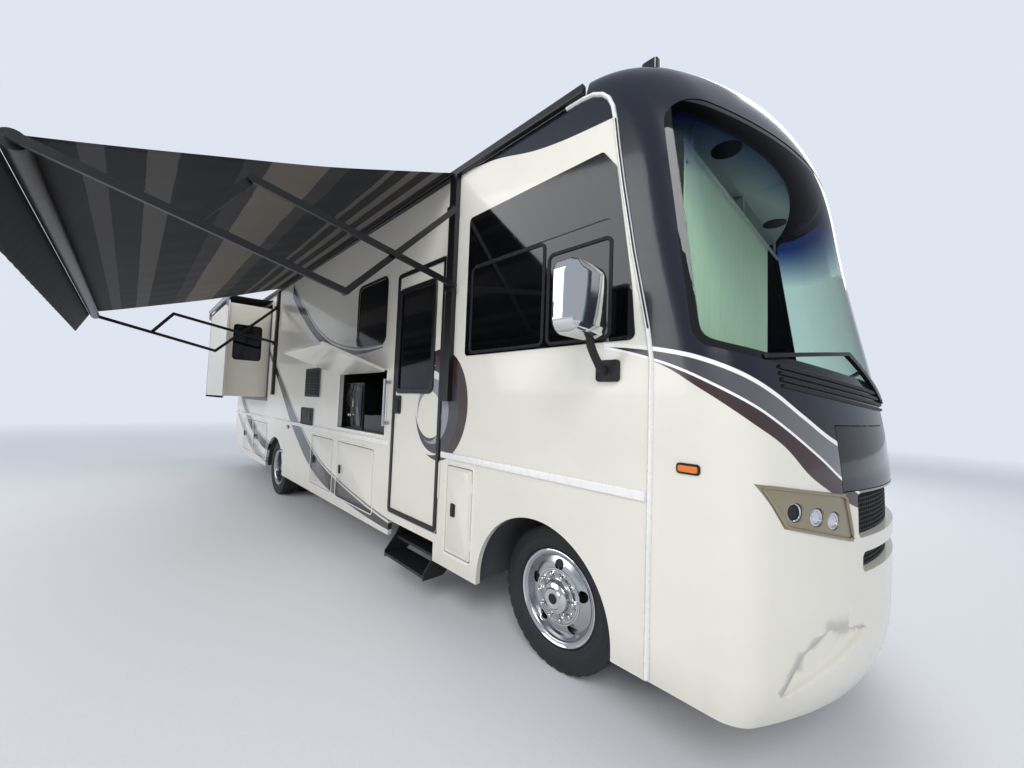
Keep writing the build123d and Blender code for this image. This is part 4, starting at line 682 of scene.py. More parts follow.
wheel_pattern = Pattern("ring_of_forms", Count=int, Radius=float, Finish=bpy.types.Material)
circle = wheel_pattern.node("GeometryNodeMeshCircle", inputs={
    "Vertices": wheel_pattern.given("Count"), "Radius": wheel_pattern.given("Radius")})
wheel_pattern.repeat(wheel_pattern.node("GeometryNodeTransform", inputs={
    "Geometry": circle, "Rotation": (pi / 2, 0.0, 0.0)}))


def line_row(name, shape, count, step, start, body, material):
    """Equal forms along a straight line, as one piece."""
    baked = row_pattern.bake(shape, name, start, Count=count, Step=tuple(step), Finish=material)
    return settle(name, baked, body, material)


def ring_row(name, shape, count, radius, centre, body, material):
    """Equal forms round a wheel's axis, as one piece."""
    baked = wheel_pattern.bake(shape, name, centre, Count=count, Radius=radius, Finish=material)
    return settle(name, baked, body, material)


# Surfaces to set things on
def surface_of(*nodes):
    """Search tree over the CAD faces of some nodes."""
    spots, faces = [], []
    for node in nodes:
        mesh = frame["nodes"][node].data
        start = len(spots)
        spots += [v.co.copy() for v in mesh.vertices]
        faces += [[start + v for v in p.vertices] for p in mesh.polygons]
    return BVHTree.FromPolygons(spots, faces)


nose = surface_of("front_cap", "hood", "windshield", "headlamp_bezels", "headlamps", "grille")


def on_nose(y, z, proud=0.0):
    """Point and outward normal on the front of the coach, seen from ahead."""
    spot, normal, _, _ = nose.ray_cast(place(4.0, y, z), -X)
    if normal.x < 0:
        normal = -normal
    return spot + normal * proud, normal


# Storage bay doors
for (side, side_name, level), bays in zip(SIDES, (KERB_BAYS, STREET_BAYS)):
    out = Y * side
    frames = Shape()
    for number, (rear, front, low, high) in enumerate(bays, 1):
        body = "bay_door_%s_%d" % (side_name, number)
        centre = place((rear + front) / 2, side * HALF_WIDTH, (low + high) / 2)
        width, height = front - rear, high - low
        panel = Shape()
        panel.plate(centre, level, Z, width - 0.05, height - 0.05, 0.004, 0.035, 0.003)
        panel.ring(centre - out * 0.001, level, Z, width - 0.02, height - 0.02, 0.03, 0.006)
        panel.finish(body + "_panel", body, "body_white", cream_paint)
        latch = Shape()
        spot = centre + X * (min(0.09, width * 0.3) - width / 2) + out * 0.003
        latch.plate(spot, level, Z, 0.062, 0.105, 0.006, 0.014, 0.003)
        latch.plate(spot + out * 0.006 + Z * 0.012, level, Z, 0.044, 0.05, 0.005, 0.01, 0.003)
        latch.button(spot + out * 0.006 - Z * 0.032, out, 0.011, 0.004, 16)
        latch.finish(body + "_latch", body, "mesh_black", moulded_black)
        frames.ring(centre, level, Z, width + 0.045, height + 0.045, 0.04, 0.006)
    frames.finish("bay_frames_" + side_name, "coach", "body_white", white_bead)

# Belt moulding between the walls and the skirts
belt = Shape()
for (side, _, level), runs in zip(SIDES, (((-9.66, -1.94), (-1.05, 0.73)), ((-9.66, 0.73),))):
    for rear, front in runs:
        centre = place((rear + front) / 2, side * HALF_WIDTH, BELT_HEIGHT)
        belt.plate(centre, level, Z, front - rear, 0.05, 0.014, 0.006, 0.006, 3)
belt.finish("belt_moulding", "coach", "body_white", white_bead)

# Entry door
door_centre = place((DOOR["rear"] + DOOR["front"]) / 2, KERB_FACE, (DOOR["low"] + DOOR["high"]) / 2)
door_width, door_height = DOOR["front"] - DOOR["rear"], DOOR["high"] - DOOR["low"]
door_frame = Shape()
door_frame.border(door_centre, X, Z, door_width - 0.004, door_height - 0.004, 0.045, 0.042, 0.012)
door_frame.border(place(-1.545, KERB_FACE, 2.325), X, Z, 0.66, 1.03, 0.07, 0.05, 0.014)
door_frame.finish("entry_door_frame", "entry_door", "frame_black", frame_black)
handle = Shape()
spot = place(-1.815, KERB_FACE - 0.002, 1.7)
handle.plate(spot, X, Z, 0.115, 0.175, 0.014, 0.02, 0.006)
handle.plate(spot + Vector((0.022, -0.014, -0.008)), X, Z, 0.034, 0.12, 0.018, 0.012, 0.006)
handle.button(spot + Vector((-0.03, -0.014, 0.045)), -Y, 0.014, 0.005)
handle.button(spot + Vector((-0.03, -0.014, -0.04)), -Y, 0.012, 0.004)
handle.finish("entry_door_handle", "entry_door", "mesh_black", moulded_black)

# Rubber gaskets of the cab's side windows: rear, front, low, high
CAB_PANES = ((-0.745, 0.02, 2.125, 2.815), (0.04, 0.515, 2.125, 2.72))
gaskets = Shape()
for side, _, level in SIDES:
    for rear, front, low, high in CAB_PANES:
        centre = place((rear + front) / 2, side * (HALF_WIDTH - 0.002), (low + high) / 2)
        gaskets.border(centre, level, Z, front - rear, high - low, 0.05, 0.022, 0.008)
gaskets.finish("window_gaskets", "coach", "frame_black", rubber)

# Beads along the seam between the cap and the walls: station and height from the bottom up
SEAM = ((0.752, 0.44), (0.752, 0.8), (0.752, 1.2), (0.752, 1.6), (0.75, 2.0), (0.727, 2.16), (0.684, 2.37),
        (0.64, 2.58), (0.602, 2.8), (0.567, 3.0), (0.533, 3.22), (0.512, 3.38), (0.494, 3.47), (0.466, 3.535),
        (0.425, 3.58), (0.36, 3.615), (0.28, 3.628), (0.16, 3.632))
for side, side_name, _ in SIDES:
    bead = Shape()
    bead.sweep([place(x, side * (HALF_WIDTH + 0.001), z) for x, z in SEAM], 0.016, 10, False, 0.8, Y)
    bead.finish("cap_bead_" + side_name, "coach", "body_white", white_bead)
    strip = Shape()
    strip.sweep([place(x + 0.006, side * (HALF_WIDTH + 0.0125), z) for x, z in SEAM[5:12]], 0.0065, 8, False,
                0.7, Y)
    strip.finish("cap_bead_strip_" + side_name, "coach", "frame_black", rubber)

# Ridged black band under the windshield: half its width, and the drop below the glass and radius of a ridge
COWL_HALF = 1.04
COWL_RIDGES = ((0.016, 0.011), (0.044, 0.011), (0.072, 0.011), (0.1, 0.009))
cowl = Shape()
for drop, radius in COWL_RIDGES:
    points = []
    for n in range(41):
        y = -COWL_HALF + 2 * COWL_HALF * n / 40
        height = 1.9
        for _ in range(6):
            forwards = on_nose(y, height)[0].x - COACH_SHIFT.x - GLASS_LOW[0]
            height = GLASS_LOW[1] - GLASS_LOW_FALL * forwards - drop
        points.append(on_nose(y, height, 0.002)[0])
    cowl.sweep(points, radius, 8)
cowl.finish("cowl_ridges", "coach", "mesh_black", moulded_black)

# Bars of the grille and of the intake below it: half width, low, high, rows, columns
GRILLES = ((0.655, 1.18, 1.38, 9, 44), (0.615, 1.015, 1.1, 4, 40))
bars = Shape()
for half, low, high, rows, columns in GRILLES:
    for n in range(rows):
        height = low + (high - low) * (n + 0.5) / rows
        bars.sweep([on_nose(-half + 2 * half * k / 30, height, 0.004)[0] for k in range(31)], 0.0035, 6)
    for n in range(columns):
        y = -half + 2 * half * (n + 0.5) / columns
        bars.sweep([on_nose(y, low + (high - low) * k / 4, 0.004)[0] for k in range(5)], 0.003, 6)
bars.finish("grille_bars", "coach", "mesh_black", moulded_black)

# Lamps in the front corners, as (out, height): the outermost is a hollow cup, the others have lenses
LAMPS = ((1.056, 1.322), (0.945, 1.296), (0.845, 1.274))
BEZEL_CORNERS = ((1.196, 1.437), (0.763, 1.381), (0.711, 1.176), (1.103, 1.263))
CUP = ((0.001, 0.0), (0.001, 0.041), (0.004, 0.043), (0.004, 0.049), (-0.002, 0.05))
CUP_RING = ((0.004, 0.034), (0.007, 0.036), (0.008, 0.039), (0.004, 0.042))
LENS_RING = ((0.004, 0.026), (0.009, 0.028), (0.011, 0.033), (0.009, 0.038), (0.003, 0.04))
LENS = ((0.004, 0.027), (0.009, 0.023), (0.013, 0.013), (0.0145, 0.0))
for side, side_name, _ in SIDES:
    cups, lamp_rings, lenses, rim = Shape(), Shape(), Shape(), Shape()
    for number, (y, z) in enumerate(LAMPS):
        spot, normal = on_nose(side * y, z)
        cups.lathe(spot, normal, CUP, 40)
        lamp_rings.lathe(spot, normal, LENS_RING if number else CUP_RING, 40)
        if number:
            lenses.lathe(spot, normal, LENS, 32)
    run = []
    for (y, z), (after_y, after_z) in zip(BEZEL_CORNERS, BEZEL_CORNERS[1:] + BEZEL_CORNERS[:1]):
        for k in range(14):
            part = 0.06 + 0.88 * k / 13
            run.append(on_nose(side * (y + (after_y - y) * part), z + (after_z - z) * part, 0.003)[0])
    rim.sweep(run, 0.0075, 8, True)
    cups.finish("lamp_cups_" + side_name, "coach", "mesh_black", moulded_black)
    rim.finish("lamp_bezel_rim_" + side_name, "coach", "bezel", champagne)
    lamp_rings.finish("lamp_rings_" + side_name, "coach", "chrome_trim", chrome)
    lenses.finish("lamp_lenses_" + side_name, "coach", "lamp_clear", lens_clear)

# Mirrors: middle, width and height of the head's glass side, and the arm's run as (out, height)
MIRROR_SPOT, MIRROR_WIDTH, MIRROR_HEIGHT = (0.445, 1.54, 2.29), 0.325, 0.375
MIRROR_ARM = ((1.3, 1.95), (1.36, 1.965), (1.42, 2.03), (1.45, 2.07), (1.46, 2.12))
for side, side_name, level in SIDES:
    head, back, pane, arm = Shape(), Shape(), Shape(), Shape()
    spot = place(MIRROR_SPOT[0], side * MIRROR_SPOT[1], MIRROR_SPOT[2])
    head.plate(spot, Y, Z, MIRROR_WIDTH, MIRROR_HEIGHT, 0.124, 0.075, 0.05, 9)
    head.finish("mirror_head_" + side_name, "coach", "chrome_trim", chrome, ("mirrors",) if side < 0 else ())
    back.border(spot + X * 0.001, -Y, Z, MIRROR_WIDTH + 0.001, MIRROR_HEIGHT + 0.001, 0.076, 0.03, 0.008)
    back.finish("mirror_rim_" + side_name, "coach", "mesh_black", moulded_black)
    pane.plate(spot, -Y, Z, MIRROR_WIDTH - 0.045, MIRROR_HEIGHT - 0.045, 0.003, 0.06)
    pane.finish("mirror_pane_" + side_name, "coach", "chrome_trim", chrome)
    arm.plate(place(0.505, side * HALF_WIDTH, 1.95), level, Z, 0.14, 0.12, 0.03, 0.018, 0.01)
    arm.sweep([place(0.5, side * y, z) for y, z in MIRROR_ARM], 0.026, 14, False, 0.8)
    arm.finish("mirror_arm_" + side_name, "coach", "mesh_black", moulded_black)

# Tyres: half of the section, as distance out from the tyre's middle and radius
TYRE_HALF = (
    (0.0985, 0.2995), (0.0985, 0.312), (0.108, 0.318), (0.1165, 0.335), (0.1155, 0.3365), (0.1205, 0.352),
    (0.1228, 0.372), (0.1232, 0.385), (0.1218, 0.388), (0.1212, 0.402), (0.1188, 0.42), (0.1172, 0.422),
    (0.1165, 0.434), (0.1135, 0.4485), (0.1065, 0.461), (0.078, 0.4652), (0.074, 0.4555), (0.068, 0.4555),
    (0.064, 0.4665), (0.030, 0.4685), (0.026, 0.457), (0.020, 0.457), (0.016, 0.469))
TREAD_STEPS = 144


def tyre(name, body, node, station, middles):
    """Road tyre with a ribbed tread, notched shoulders and stepped side walls."""
    shape = Shape()
    for middle in middles:
        rings = []
        for out, radius in TYRE_HALF + tuple((-out, radius) for out, radius in reversed(TYRE_HALF)):
            ring = []
            for k in range(TREAD_STEPS):
                cut = 0.0
                if abs(out) > 0.1 and radius > 0.445 and k % 4 == 0:
                    cut = 0.007
                elif 0.062 < abs(out) < 0.082 and radius > 0.46 and k % 4 == 0:
                    cut = 0.003
                angle = 2 * pi * (k + (0.5 if out > 0 else 0.0)) / TREAD_STEPS
                ring.append(shape.bm.verts.new(place(station + (radius - cut) * cos(angle), middle + out,
                                                     TYRE_RADIUS + (radius - cut) * sin(angle))))
            rings.append(ring)
        for low, high in zip(rings, rings[1:] + rings[:1]):
            shape.bridge(low, high)
    return shape.finish(name, body, "tyre_black", tyre_black, (node,), 24.0)


for side, side_name, _ in SIDES:
    tyre("front_tread_" + side_name, "front_wheel_" + side_name, "front_tyre_" + side_name, 0.0,
         (side * FRONT_WHEEL_Y,))
    tyre("rear_treads_" + side_name, "rear_wheels_" + side_name, "rear_tyres_" + side_name, REAR_AXLE,
         (side * REAR_OUTER_Y, side * REAR_INNER_Y))


# Awning
def cloth_sheet(name, rows, body, material, replaces=(), thickness=0.0016):
    """A thin sheet from rows of points, given a thickness."""
    bm = bmesh.new()
    grid = [[bm.verts.new(p) for p in row] for row in rows]
    for low, high in zip(grid, grid[1:]):
        for k in range(len(low) - 1):
            bm.faces.new((low[k], low[k + 1], high[k + 1], high[k]))
    bmesh.ops.recalc_face_normals(bm, faces=bm.faces)
    mesh = bpy.data.meshes.new(name)
    bm.to_mesh(mesh)
    bm.free()
    item = settle(name, mesh, body, material, replaces, 60.0)
    thick = item.modifiers.new("thickness", "SOLIDIFY")
    thick.thickness = thickness
    thick.offset = 0.0
    return item


def sheet_size(rows):
    """Width and length of a sheet measured over its points."""
    middle = rows[len(rows) // 2]
    column = [row[len(row) // 2] for row in rows]
    return tuple(sum((b - a).length for a, b in zip(line, line[1:])) for line in (column, middle))


def sheet_rows(across, down, point):
    """Rows of a sheet's points, each at its share of the way across and down."""
    return [[Vector(point(n / across, m / down)) for m in range(down + 1)] for n in range(across + 1)]


# Where the canopy leaves the wall and meets the roller, as (out, height), its sag, and the flap's fall
CANOPY_WALL, CANOPY_END, CANOPY_SAG = (1.318, 3.672), (3.55, 2.8175), 0.03
FLAP_TOP, FLAP_OUT, FLAP_DROP = (3.602, 2.77), 0.1125, 0.25
low_box, high_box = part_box("awning_cloth")


def canopy_point(t, s):
    ripple = 0.006 * sin(2 * pi * t * 3) + 0.0035 * sin(2 * pi * (t * 11 + s * 1.7))
    height = CANOPY_WALL[1] - (CANOPY_WALL[1] - CANOPY_END[1]) * s - CANOPY_SAG * 4 * s * (1 - s)
    return (low_box.x + (high_box.x - low_box.x) * t,
            COACH_SHIFT.y - CANOPY_WALL[0] - (CANOPY_END[0] - CANOPY_WALL[0]) * s,
            height + ripple * sin(pi * s))


def flap_point(t, s):
    wave = abs(0.004 * sin(2 * pi * t * 14) * s)
    return (low_box.x + (high_box.x - low_box.x) * t, COACH_SHIFT.y - FLAP_TOP[0] - FLAP_OUT * s - wave,
            FLAP_TOP[1] - FLAP_DROP * s)


canopy_rows, flap_rows = sheet_rows(120, 26, canopy_point), sheet_rows(120, 8, flap_point)
canopy = cloth_sheet("awning_canopy", canopy_rows, "coach", awning_cloth_finish,
                     ("awning_cloth",))
flap = cloth_sheet("awning_flap", flap_rows, "coach", awning_cloth_finish)
sheet_size(canopy_rows)
sheet_size(flap_rows)

# Slide-out room
topper_low, topper_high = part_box("topper_cloth")


def topper_point(t, s):
    return (topper_low.x + (topper_high.x - topper_low.x) * t,
            topper_high.y + (topper_low.y - topper_high.y) * s,
            topper_high.z - 0.004 + (topper_low.z - topper_high.z + 0.006) * s - 0.01 * sin(pi * s))


topper_rows = sheet_rows(30, 12, topper_point)
topper = cloth_sheet("topper_canopy", topper_rows, "slide_out", topper_fabric,
                     ("topper_cloth",))
sheet_size(topper_rows)

slide_low, slide_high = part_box("slide_room")
slide_middle, slide_size = (slide_low + slide_high) / 2, slide_high - slide_low
trim = Shape()
trim.border(Vector((slide_middle.x, slide_low.y + 0.001, slide_middle.z)), X, Z, slide_size.x - 0.004,
            slide_size.z - 0.004, 0.03, 0.035, 0.001)
trim.finish("slide_face_trim", "slide_out", "body_white", white_bead)

# Dark rims of the side markers: station and height
MARKERS = ((0.937, 1.478), (-5.405, 1.235))
rims = Shape()
for side, _, level in SIDES:
    for x, z in MARKERS:
        rims.border(place(x, side * HALF_WIDTH, z), level, Z, 0.108, 0.05, 0.016, 0.011, 0.01)
rims.finish("marker_rims", "coach", "frame_black", rubber)

# Wheel nuts, hub caps and bands, as (along the axle, radius)
NUT_CIRCLE, NUT_COUNT = 0.143, 10
FRONT_NUT = ((0.0, 0.0), (0.0, 0.0185), (0.003, 0.0185), (0.005, 0.0145), (0.024, 0.0135), (0.031, 0.011),
             (0.034, 0.006), (0.035, 0.0))
REAR_NUT = ((0.0, 0.0), (0.0, 0.0185), (0.004, 0.0145), (0.03, 0.0125), (0.035, 0.007), (0.036, 0.0))
FRONT_CAP = ((0.0, 0.094), (0.004, 0.096), (0.008, 0.09), (0.012, 0.072), (0.016, 0.066), (0.022, 0.062),
             (0.024, 0.04), (0.022, 0.036), (0.022, 0.0))
REAR_CAP = ((0.0, 0.1), (0.012, 0.101), (0.016, 0.094), (0.018, 0.07), (0.03, 0.062), (0.034, 0.05),
            (0.034, 0.0))
RIM_LIP = ((0.1, 0.303), (0.107, 0.3045), (0.1085, 0.3), (0.104, 0.291), (0.094, 0.279), (0.088, 0.272),
           (0.084, 0.272), (0.09, 0.283), (0.1, 0.303))
HUB_PLUG = ((0.0, 0.0), (0.0, 0.033), (0.002, 0.031), (0.003, 0.0))
REAR_HUB_Y = 0.918


def dress_hub(tag, side_name, body, hub, out, nut_out, nut_form, cap_out, cap_form):
    """Ring of nuts and the hub cap of one wheel."""
    ring_row("%s_nuts_%s" % (tag, side_name), Shape().lathe((0, 0, 0), out, nut_form, 18), NUT_COUNT,
             NUT_CIRCLE, hub + out * nut_out, body + side_name, chrome)
    cap = Shape().lathe(hub + out * cap_out, out, cap_form)
    cap.finish("%s_hub_cap_%s" % (tag, side_name), body + side_name, "wheel_metal", chrome)


for side, side_name, _ in SIDES:
    out = Y * side
    hub = place(0.0, side * FRONT_WHEEL_Y, TYRE_RADIUS)
    dress_hub("front", side_name, "front_wheel_", hub, out, 0.086, FRONT_NUT, 0.122, FRONT_CAP)
    plug = Shape().lathe(hub + out * 0.1445, out, HUB_PLUG, 32)
    plug.finish("front_hub_plug_" + side_name, "front_wheel_" + side_name, "mesh_black", moulded_black)
    bands = Shape()
    for along, radius in ((0.0875, 0.176), (0.086, 0.16)):
        bands.lathe(hub, out, ((along - 0.002, radius + 0.005), (along + 0.002, radius + 0.0035),
                               (along + 0.002, radius - 0.0035), (along - 0.002, radius - 0.005)), 72)
    bands.lathe(hub, out, RIM_LIP, 96)
    bands.finish("front_wheel_bands_" + side_name, "front_wheel_" + side_name, "wheel_metal", chrome)
    dress_hub("rear", side_name, "rear_wheels_", place(REAR_AXLE, side * REAR_HUB_Y, TYRE_RADIUS), out, 0.016,
              REAR_NUT, 0.19, REAR_CAP)

# Outside kitchen, set on the faces of its tall unit and of its low unit with the sink
bay_tree = surface_of("kitchen_bay")


def bay_face(x, z):
    """Point where a line from outside meets the kitchen."""
    return bay_tree.ray_cast(place(x, -3.0, z), Y)[0]


tower = bay_face(-3.04, 1.66)
tower_face = Shape().plate(tower, X, Z, 0.5, 0.53, 0.004, 0.01, 0.002)
tower_face.finish("kitchen_tower_face", "coach", "kitchen_steel", gloss_black)
speaker_spot = tower + Vector((-0.1, -0.004, 0.1))
speaker = Shape().border(speaker_spot, X, Z, 0.22, 0.22, 0.11, 0.016, 0.004)
for n in range(5):
    speaker.ring(speaker_spot, X, Z, 0.18 - 0.034 * n, 0.18 - 0.034 * n, 0.0899 - 0.017 * n, 0.0018)
speaker.finish("kitchen_speaker", "coach", "kitchen_steel", moulded_black)
knobs = Shape()
for n in range(2):
    knobs.lathe(tower + Vector((-0.12 + 0.06 * n, -0.004, -0.12)), -Y,
                ((0, 0.0), (0, 0.02), (0.016, 0.017), (0.018, 0.0)), 24)
knobs.finish("kitchen_knobs", "coach", "chrome_trim", chrome)
fridge = Shape().plate(tower + Vector((0.13, -0.004, 0.0)), X, Z, 0.2, 0.49, 0.012, 0.012, 0.004)
fridge.finish("kitchen_fridge_door", "coach", "kitchen_steel", dark_glass)
PULL = ((0.0, 0.17), (0.018, 0.165), (0.022, 0.15), (0.022, 0.0), (0.018, -0.02), (0.0, -0.025))
pull = Shape().sweep([tower + Vector((0.045, -0.016 - d, z)) for d, z in PULL], 0.005, 8)
pull.finish("kitchen_fridge_pull", "coach", "chrome_trim", chrome)
sink = Shape()
low = bay_face(-2.4, 1.45)
TAP = ((0.0, 1.557), (0.0, 1.70), (-0.02, 1.74), (-0.07, 1.76), (-0.13, 1.745), (-0.145, 1.7))
sink.border(Vector((low.x, low.y + 0.17, 1.5575)), X, Y, 0.46, 0.26, 0.05, 0.014, 0.006)
sink.sweep([Vector((low.x - 0.16, low.y + 0.3 + d, z)) for d, z in TAP], 0.009, 12)
sink.finish("kitchen_sink", "coach", "kitchen_steel", kitchen_steel)
# Station, height of the middle, width and height of the frame round the opening
LIP_STATION, LIP_MIDDLE, LIP_WIDTH, LIP_HEIGHT = -2.695, 1.7125, 1.3, 0.72
lip = Shape().border(place(LIP_STATION, KERB_FACE, LIP_MIDDLE), X, Z, LIP_WIDTH, LIP_HEIGHT, 0.03, 0.026,
                     0.006)
lip.finish("kitchen_opening_frame", "coach", "body_white", white_bead)

# Vents and hatches on the walls: station and height of the upper and the lower vent
UPPER_VENT, LOWER_VENT = (-4.305, 1.945), (-4.485, 1.455)
slat = Shape().plate((0, 0, 0), X, Vector((0, 0.45, 1)), 0.53, 0.032, 0.004, 0.004, 0.001)
lowest_slat = place(UPPER_VENT[0], KERB_FACE - 0.018, UPPER_VENT[1] - 0.16)
line_row("fridge_vent_slats", slat, 9, Z * 0.04, lowest_slat, "coach", moulded_black)
vent = Shape()
upper = place(UPPER_VENT[0], KERB_FACE - 0.012, UPPER_VENT[1])
vent.border(upper, X, Z, 0.61, 0.41, 0.02, 0.032, 0.008)
vent.plate(upper, X, Z, 0.56, 0.37, 0.002)
lower = place(LOWER_VENT[0], KERB_FACE - 0.008, LOWER_VENT[1])
vent.border(lower, X, Z, 0.53, 0.25, 0.03, 0.02, 0.007)
vent.plate(lower, X, Z, 0.49, 0.21, 0.003, 0.015, 0.001)
vent.plate(lower + Vector((0.125, -0.003, 0.0)), X, Z, 0.12, 0.12, 0.006, 0.012, 0.003)
vent.finish("wall_vents", "coach", "mesh_black", moulded_black)
# Street-side hatches: station, height of the middle, width and height
STREET_HATCHES = ((-4.9, 0.93, 0.3, 0.36), (-1.2, 0.93, 0.28, 0.3), (-9.2, 0.93, 0.3, 0.3),
                  (-3.9, 1.62, 0.34, 0.34), (-7.0, 1.6, 0.5, 0.4))
for number, (x, z, width, height) in enumerate(STREET_HATCHES, 1):
    face = place(x, HALF_WIDTH, z)
    lid = Shape()
    lid.plate(face, -X, Z, width, height, 0.006, 0.02, 0.003)
    lid.ring(face, -X, Z, width + 0.02, height + 0.02, 0.03, 0.004)
    lid.finish("street_hatch_%d" % number, "coach", "body_white", cream_plain)
    lock = Shape().button(face + Vector((0.0, 0.006, height * 0.36)), Y, 0.014, 0.004)
    lock.finish("street_hatch_lock_%d" % number, "coach", "mesh_black", moulded_black)

# Roof: stations of the cooling units and of the vents
ROOF_UNITS, ROOF_VENTS = (-2.6, -7.3), (-0.9, -4.3, -5.6, -8.7)
for number, station in enumerate(ROOF_UNITS, 1):
    shroud = Shape().plate(place(station, 0.0, 3.775), X, Y, 1.04, 0.7, 0.225, 0.12, 0.07, 8)
    shroud.finish("roof_unit_%d" % number, "coach", "roof_white", roof_sheet,
                  ("roof_units",) if number == 1 else ())
    slot = Shape().plate((0, 0, 0), Y, Z, 0.5, 0.012, 0.004, 0.005)
    line_row("roof_unit_slots_%d" % number, slot, 6, Z * 0.02, place(station + 0.519, 0.0, 3.82), "coach",
             moulded_black)
for number, station in enumerate(ROOF_VENTS, 1):
    spot = place(station, 0.46, 3.74)
    hatch = Shape().plate(spot, X, Y, 0.42, 0.42, 0.1, 0.04, 0.03, 6)
    hatch.finish("roof_vent_%d" % number, "coach", "roof_white", roof_sheet)
    collar = Shape().border(spot + Z * 0.015, X, Y, 0.5, 0.5, 0.03, 0.05, 0.02)
    collar.finish("roof_vent_collar_%d" % number, "coach", "roof_white", roof_sheet)

# Rear: station of its face, and the tail lamps' middle as (out, height)
REAR_FACE, TAIL_LAMP = -9.7, (1.065, 1.235)
plate_holder = Shape()
spot = place(REAR_FACE, 0.0, 0.92)
plate_holder.border(spot, -Y, Z, 0.36, 0.2, 0.02, 0.02, 0.01)
plate_holder.plate(spot, -Y, Z, 0.305, 0.155, 0.004, 0.008)
plate_holder.finish("plate_holder", "coach", "alloy_bright", alloy)
mouldings = Shape()
mouldings.plate(place(REAR_FACE, 0.0, 0.6), -Y, Z, 2.2, 0.12, 0.035, 0.03, 0.015)
mouldings.plate(place(REAR_FACE, 0.0, BELT_HEIGHT), -Y, Z, 2.25, 0.05, 0.014, 0.006, 0.006)
mouldings.finish("rear_mouldings", "coach", "body_white", white_bead)
camera_pod = Shape().plate(place(REAR_FACE, 0.0, 3.42), -Y, Z, 0.14, 0.09, 0.07, 0.02, 0.015)
camera_pod.finish("rear_camera_pod", "coach", "mesh_black", moulded_black)
for side, side_name, _ in SIDES:
    spot = place(REAR_FACE, side * TAIL_LAMP[0], TAIL_LAMP[1])
    bezel = Shape().border(spot, -Y, Z, 0.17, 0.41, 0.04, 0.022, 0.015)
    bezel.finish("tail_lamp_bezel_" + side_name, "coach", "chrome_trim", chrome)

# Cab
curtain_low, curtain_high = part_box("cab_curtain")


def curtain_point(t, s):
    fold = 0.0022 * sin(2 * pi * t * 7 + 0.6) * (0.3 + 0.7 * s) + 0.001 * sin(2 * pi * t * 19 + 2 * s)
    return ((curtain_low.x + curtain_high.x) / 2 + fold,
            curtain_low.y + 0.004 + (curtain_high.y - curtain_low.y - 0.008) * t,
            curtain_high.z - 0.002 - (curtain_high.z - curtain_low.z - 0.004) * s)


# The curtain's finish carries a painted glow
curtain_rows = sheet_rows(96, 24, curtain_point)
curtain = cloth_sheet("sun_curtain", curtain_rows, "coach", curtain_cloth, ("cab_curtain",),
                      0.0012)
sheet_size(curtain_rows)
speakers = Shape()
for side, _, _ in SIDES:
    speakers.lathe(place(0.9, side * 0.64, 3.3495), -Z,
                   ((0.0, 0.0), (0.0, 0.085), (0.008, 0.082), (0.012, 0.07), (0.01, 0.0)), 40)
speakers.finish("ceiling_speakers", "coach", "dash_dark", moulded_black)
SNAP = ((0.0, 0.0), (0.0, 0.011), (0.004, 0.01), (0.006, 0.005), (0.006, 0.0))
first_snap = Vector((curtain_high.x + 0.0005, curtain_low.y + 0.03, curtain_high.z - 0.1))
line_row("curtain_snaps", Shape().lathe((0, 0, 0), X, SNAP, 16), 4, Z * -0.34, first_snap, "coach",
         alloy)

# Camera: focal length over picture width, place in the coach's own frame, and turns in radians
FOCAL_SHARE = 384.9985 / 1024
CAMERA_PLACE = (1.63549, -3.13995, 1.75532)
YAW, PITCH, ROLL = 2.36148186, 0.0490713, 0.0358594
camera_data = bpy.data.cameras.new("camera")
camera_data.sensor_width = 36.0
camera_data.lens = FOCAL_SHARE * camera_data.sensor_width
camera = bpy.data.objects.new("camera", camera_data)
bpy.context.scene.collection.objects.link(camera)
ahead = Vector((cos(PITCH) * cos(YAW), cos(PITCH) * sin(YAW), sin(PITCH)))
right = Vector((sin(YAW), -cos(YAW), 0.0))
upward = right.cross(ahead)
turned_right = cos(ROLL) * right + sin(ROLL) * upward
turned_up = -sin(ROLL) * right + cos(ROLL) * upward
facing = Matrix((turned_right, turned_up, -ahead)).transposed().to_4x4()
camera.matrix_world = Matrix.Translation(place(*CAMERA_PLACE)) @ facing
camera_data.clip_start = 0.02
camera_data.clip_end = 300.0
bpy.context.scene.camera = camera

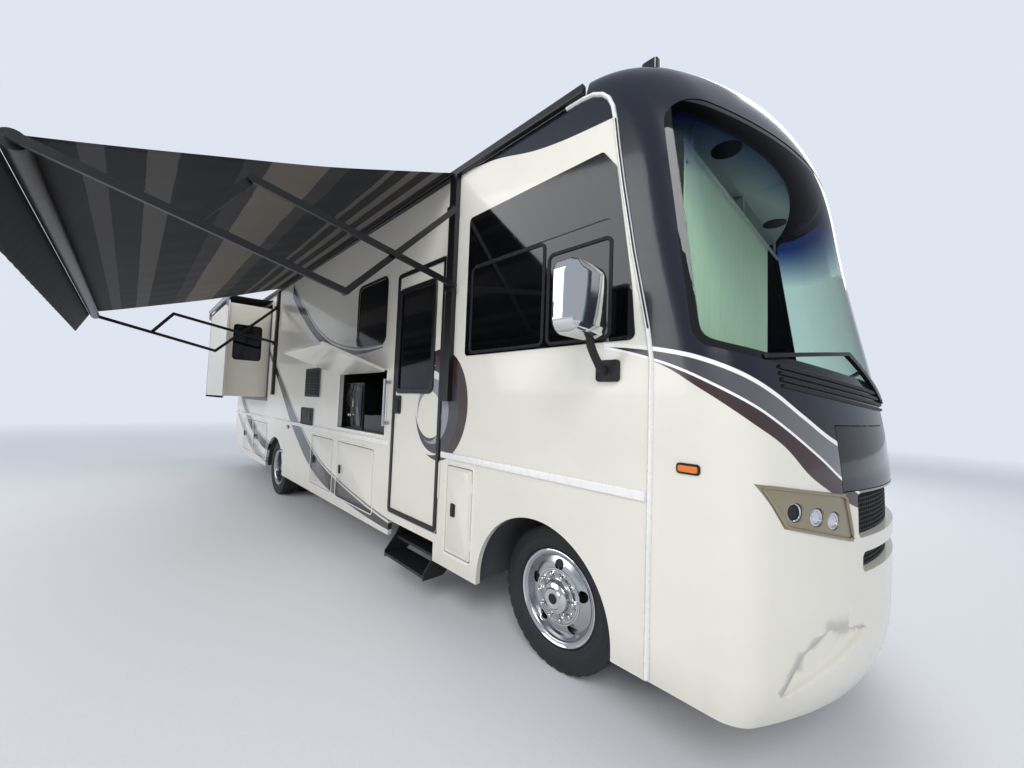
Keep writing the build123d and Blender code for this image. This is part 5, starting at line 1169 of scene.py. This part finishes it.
# Floor, which fades into the backdrop's colour away from the coach
BACKDROP = (0.74, 0.79, 0.88, 1.0)
FADE_START, FADE_RATE = 9.0, 0.06
floor_mesh = bpy.data.meshes.new("studio_floor")
floor_mesh.from_pydata([(-60, -60, 0), (60, -60, 0), (60, 60, 0), (-60, 60, 0)], [], [(0, 1, 2, 3)])
floor_item = bpy.data.objects.new("studio_floor", floor_mesh)
bpy.context.scene.collection.objects.link(floor_item)
floor_finish = Finish("studio_floor", "#e6e7ea", 0.8)
speckle = floor_finish.noise(60.0, 4.0)
floor_finish.set("Base Color", floor_finish.blend(speckle, "#e2e3e6", "#eceded"))
floor_x, floor_y, _ = floor_finish.position()
away = (((floor_x + 2.0) * (floor_x + 2.0) + floor_y * floor_y).math("SQRT") - FADE_START) * FADE_RATE
haze = floor_finish.node("ShaderNodeEmission", inputs={"Color": BACKDROP, "Strength": 1.0})
floor_finish.cover(away.most(0.0).least(1.0), Term(floor_finish, floor_finish.surface.outputs[0]), haze)
floor_mesh.materials.append(floor_finish.material)

# Pale blue light from all sides; what the camera sees of it is the backdrop's colour
world = bpy.data.worlds.new("studio")
bpy.context.scene.world = world
world.use_nodes = True
tree = world.node_tree
sky = tree.nodes["Background"]
sky.inputs["Color"].default_value = (0.82, 0.88, 1.0, 1.0)
sky.inputs["Strength"].default_value = 0.55
seen = tree.nodes.new("ShaderNodeBackground")
seen.inputs["Color"].default_value = BACKDROP
rays = tree.nodes.new("ShaderNodeLightPath")
choice = tree.nodes.new("ShaderNodeMixShader")
for given, taken in ((rays.outputs["Is Camera Ray"], choice.inputs[0]), (sky.outputs[0], choice.inputs[1]),
                     (seen.outputs[0], choice.inputs[2]),
                     (choice.outputs[0], tree.nodes["World Output"].inputs[0])):
    tree.links.new(given, taken)


def lamp(name, location, target, size, power):
    """A square area lamp that faces a target."""
    data = bpy.data.lights.new(name, "AREA")
    data.shape = "SQUARE"
    data.size = size
    data.energy = power
    item = bpy.data.objects.new(name, data)
    bpy.context.scene.collection.objects.link(item)
    item.location = location
    item.rotation_euler = (Vector(target) - Vector(location)).to_track_quat("-Z", "Y").to_euler()
    return item


lamp("key_light", place(6.0, -9.0, 9.0), place(-1.0, 0.0, 1.5), 6.0, 760.0)
lamp("side_fill", place(-7.0, -11.0, 6.0), place(-4.0, 0.0, 1.5), 8.0, 520.0)
lamp("far_fill", place(-2.0, 10.0, 9.0), place(-3.0, 0.0, 1.5), 8.0, 620.0)

bpy.context.scene.view_settings.view_transform = "Standard"
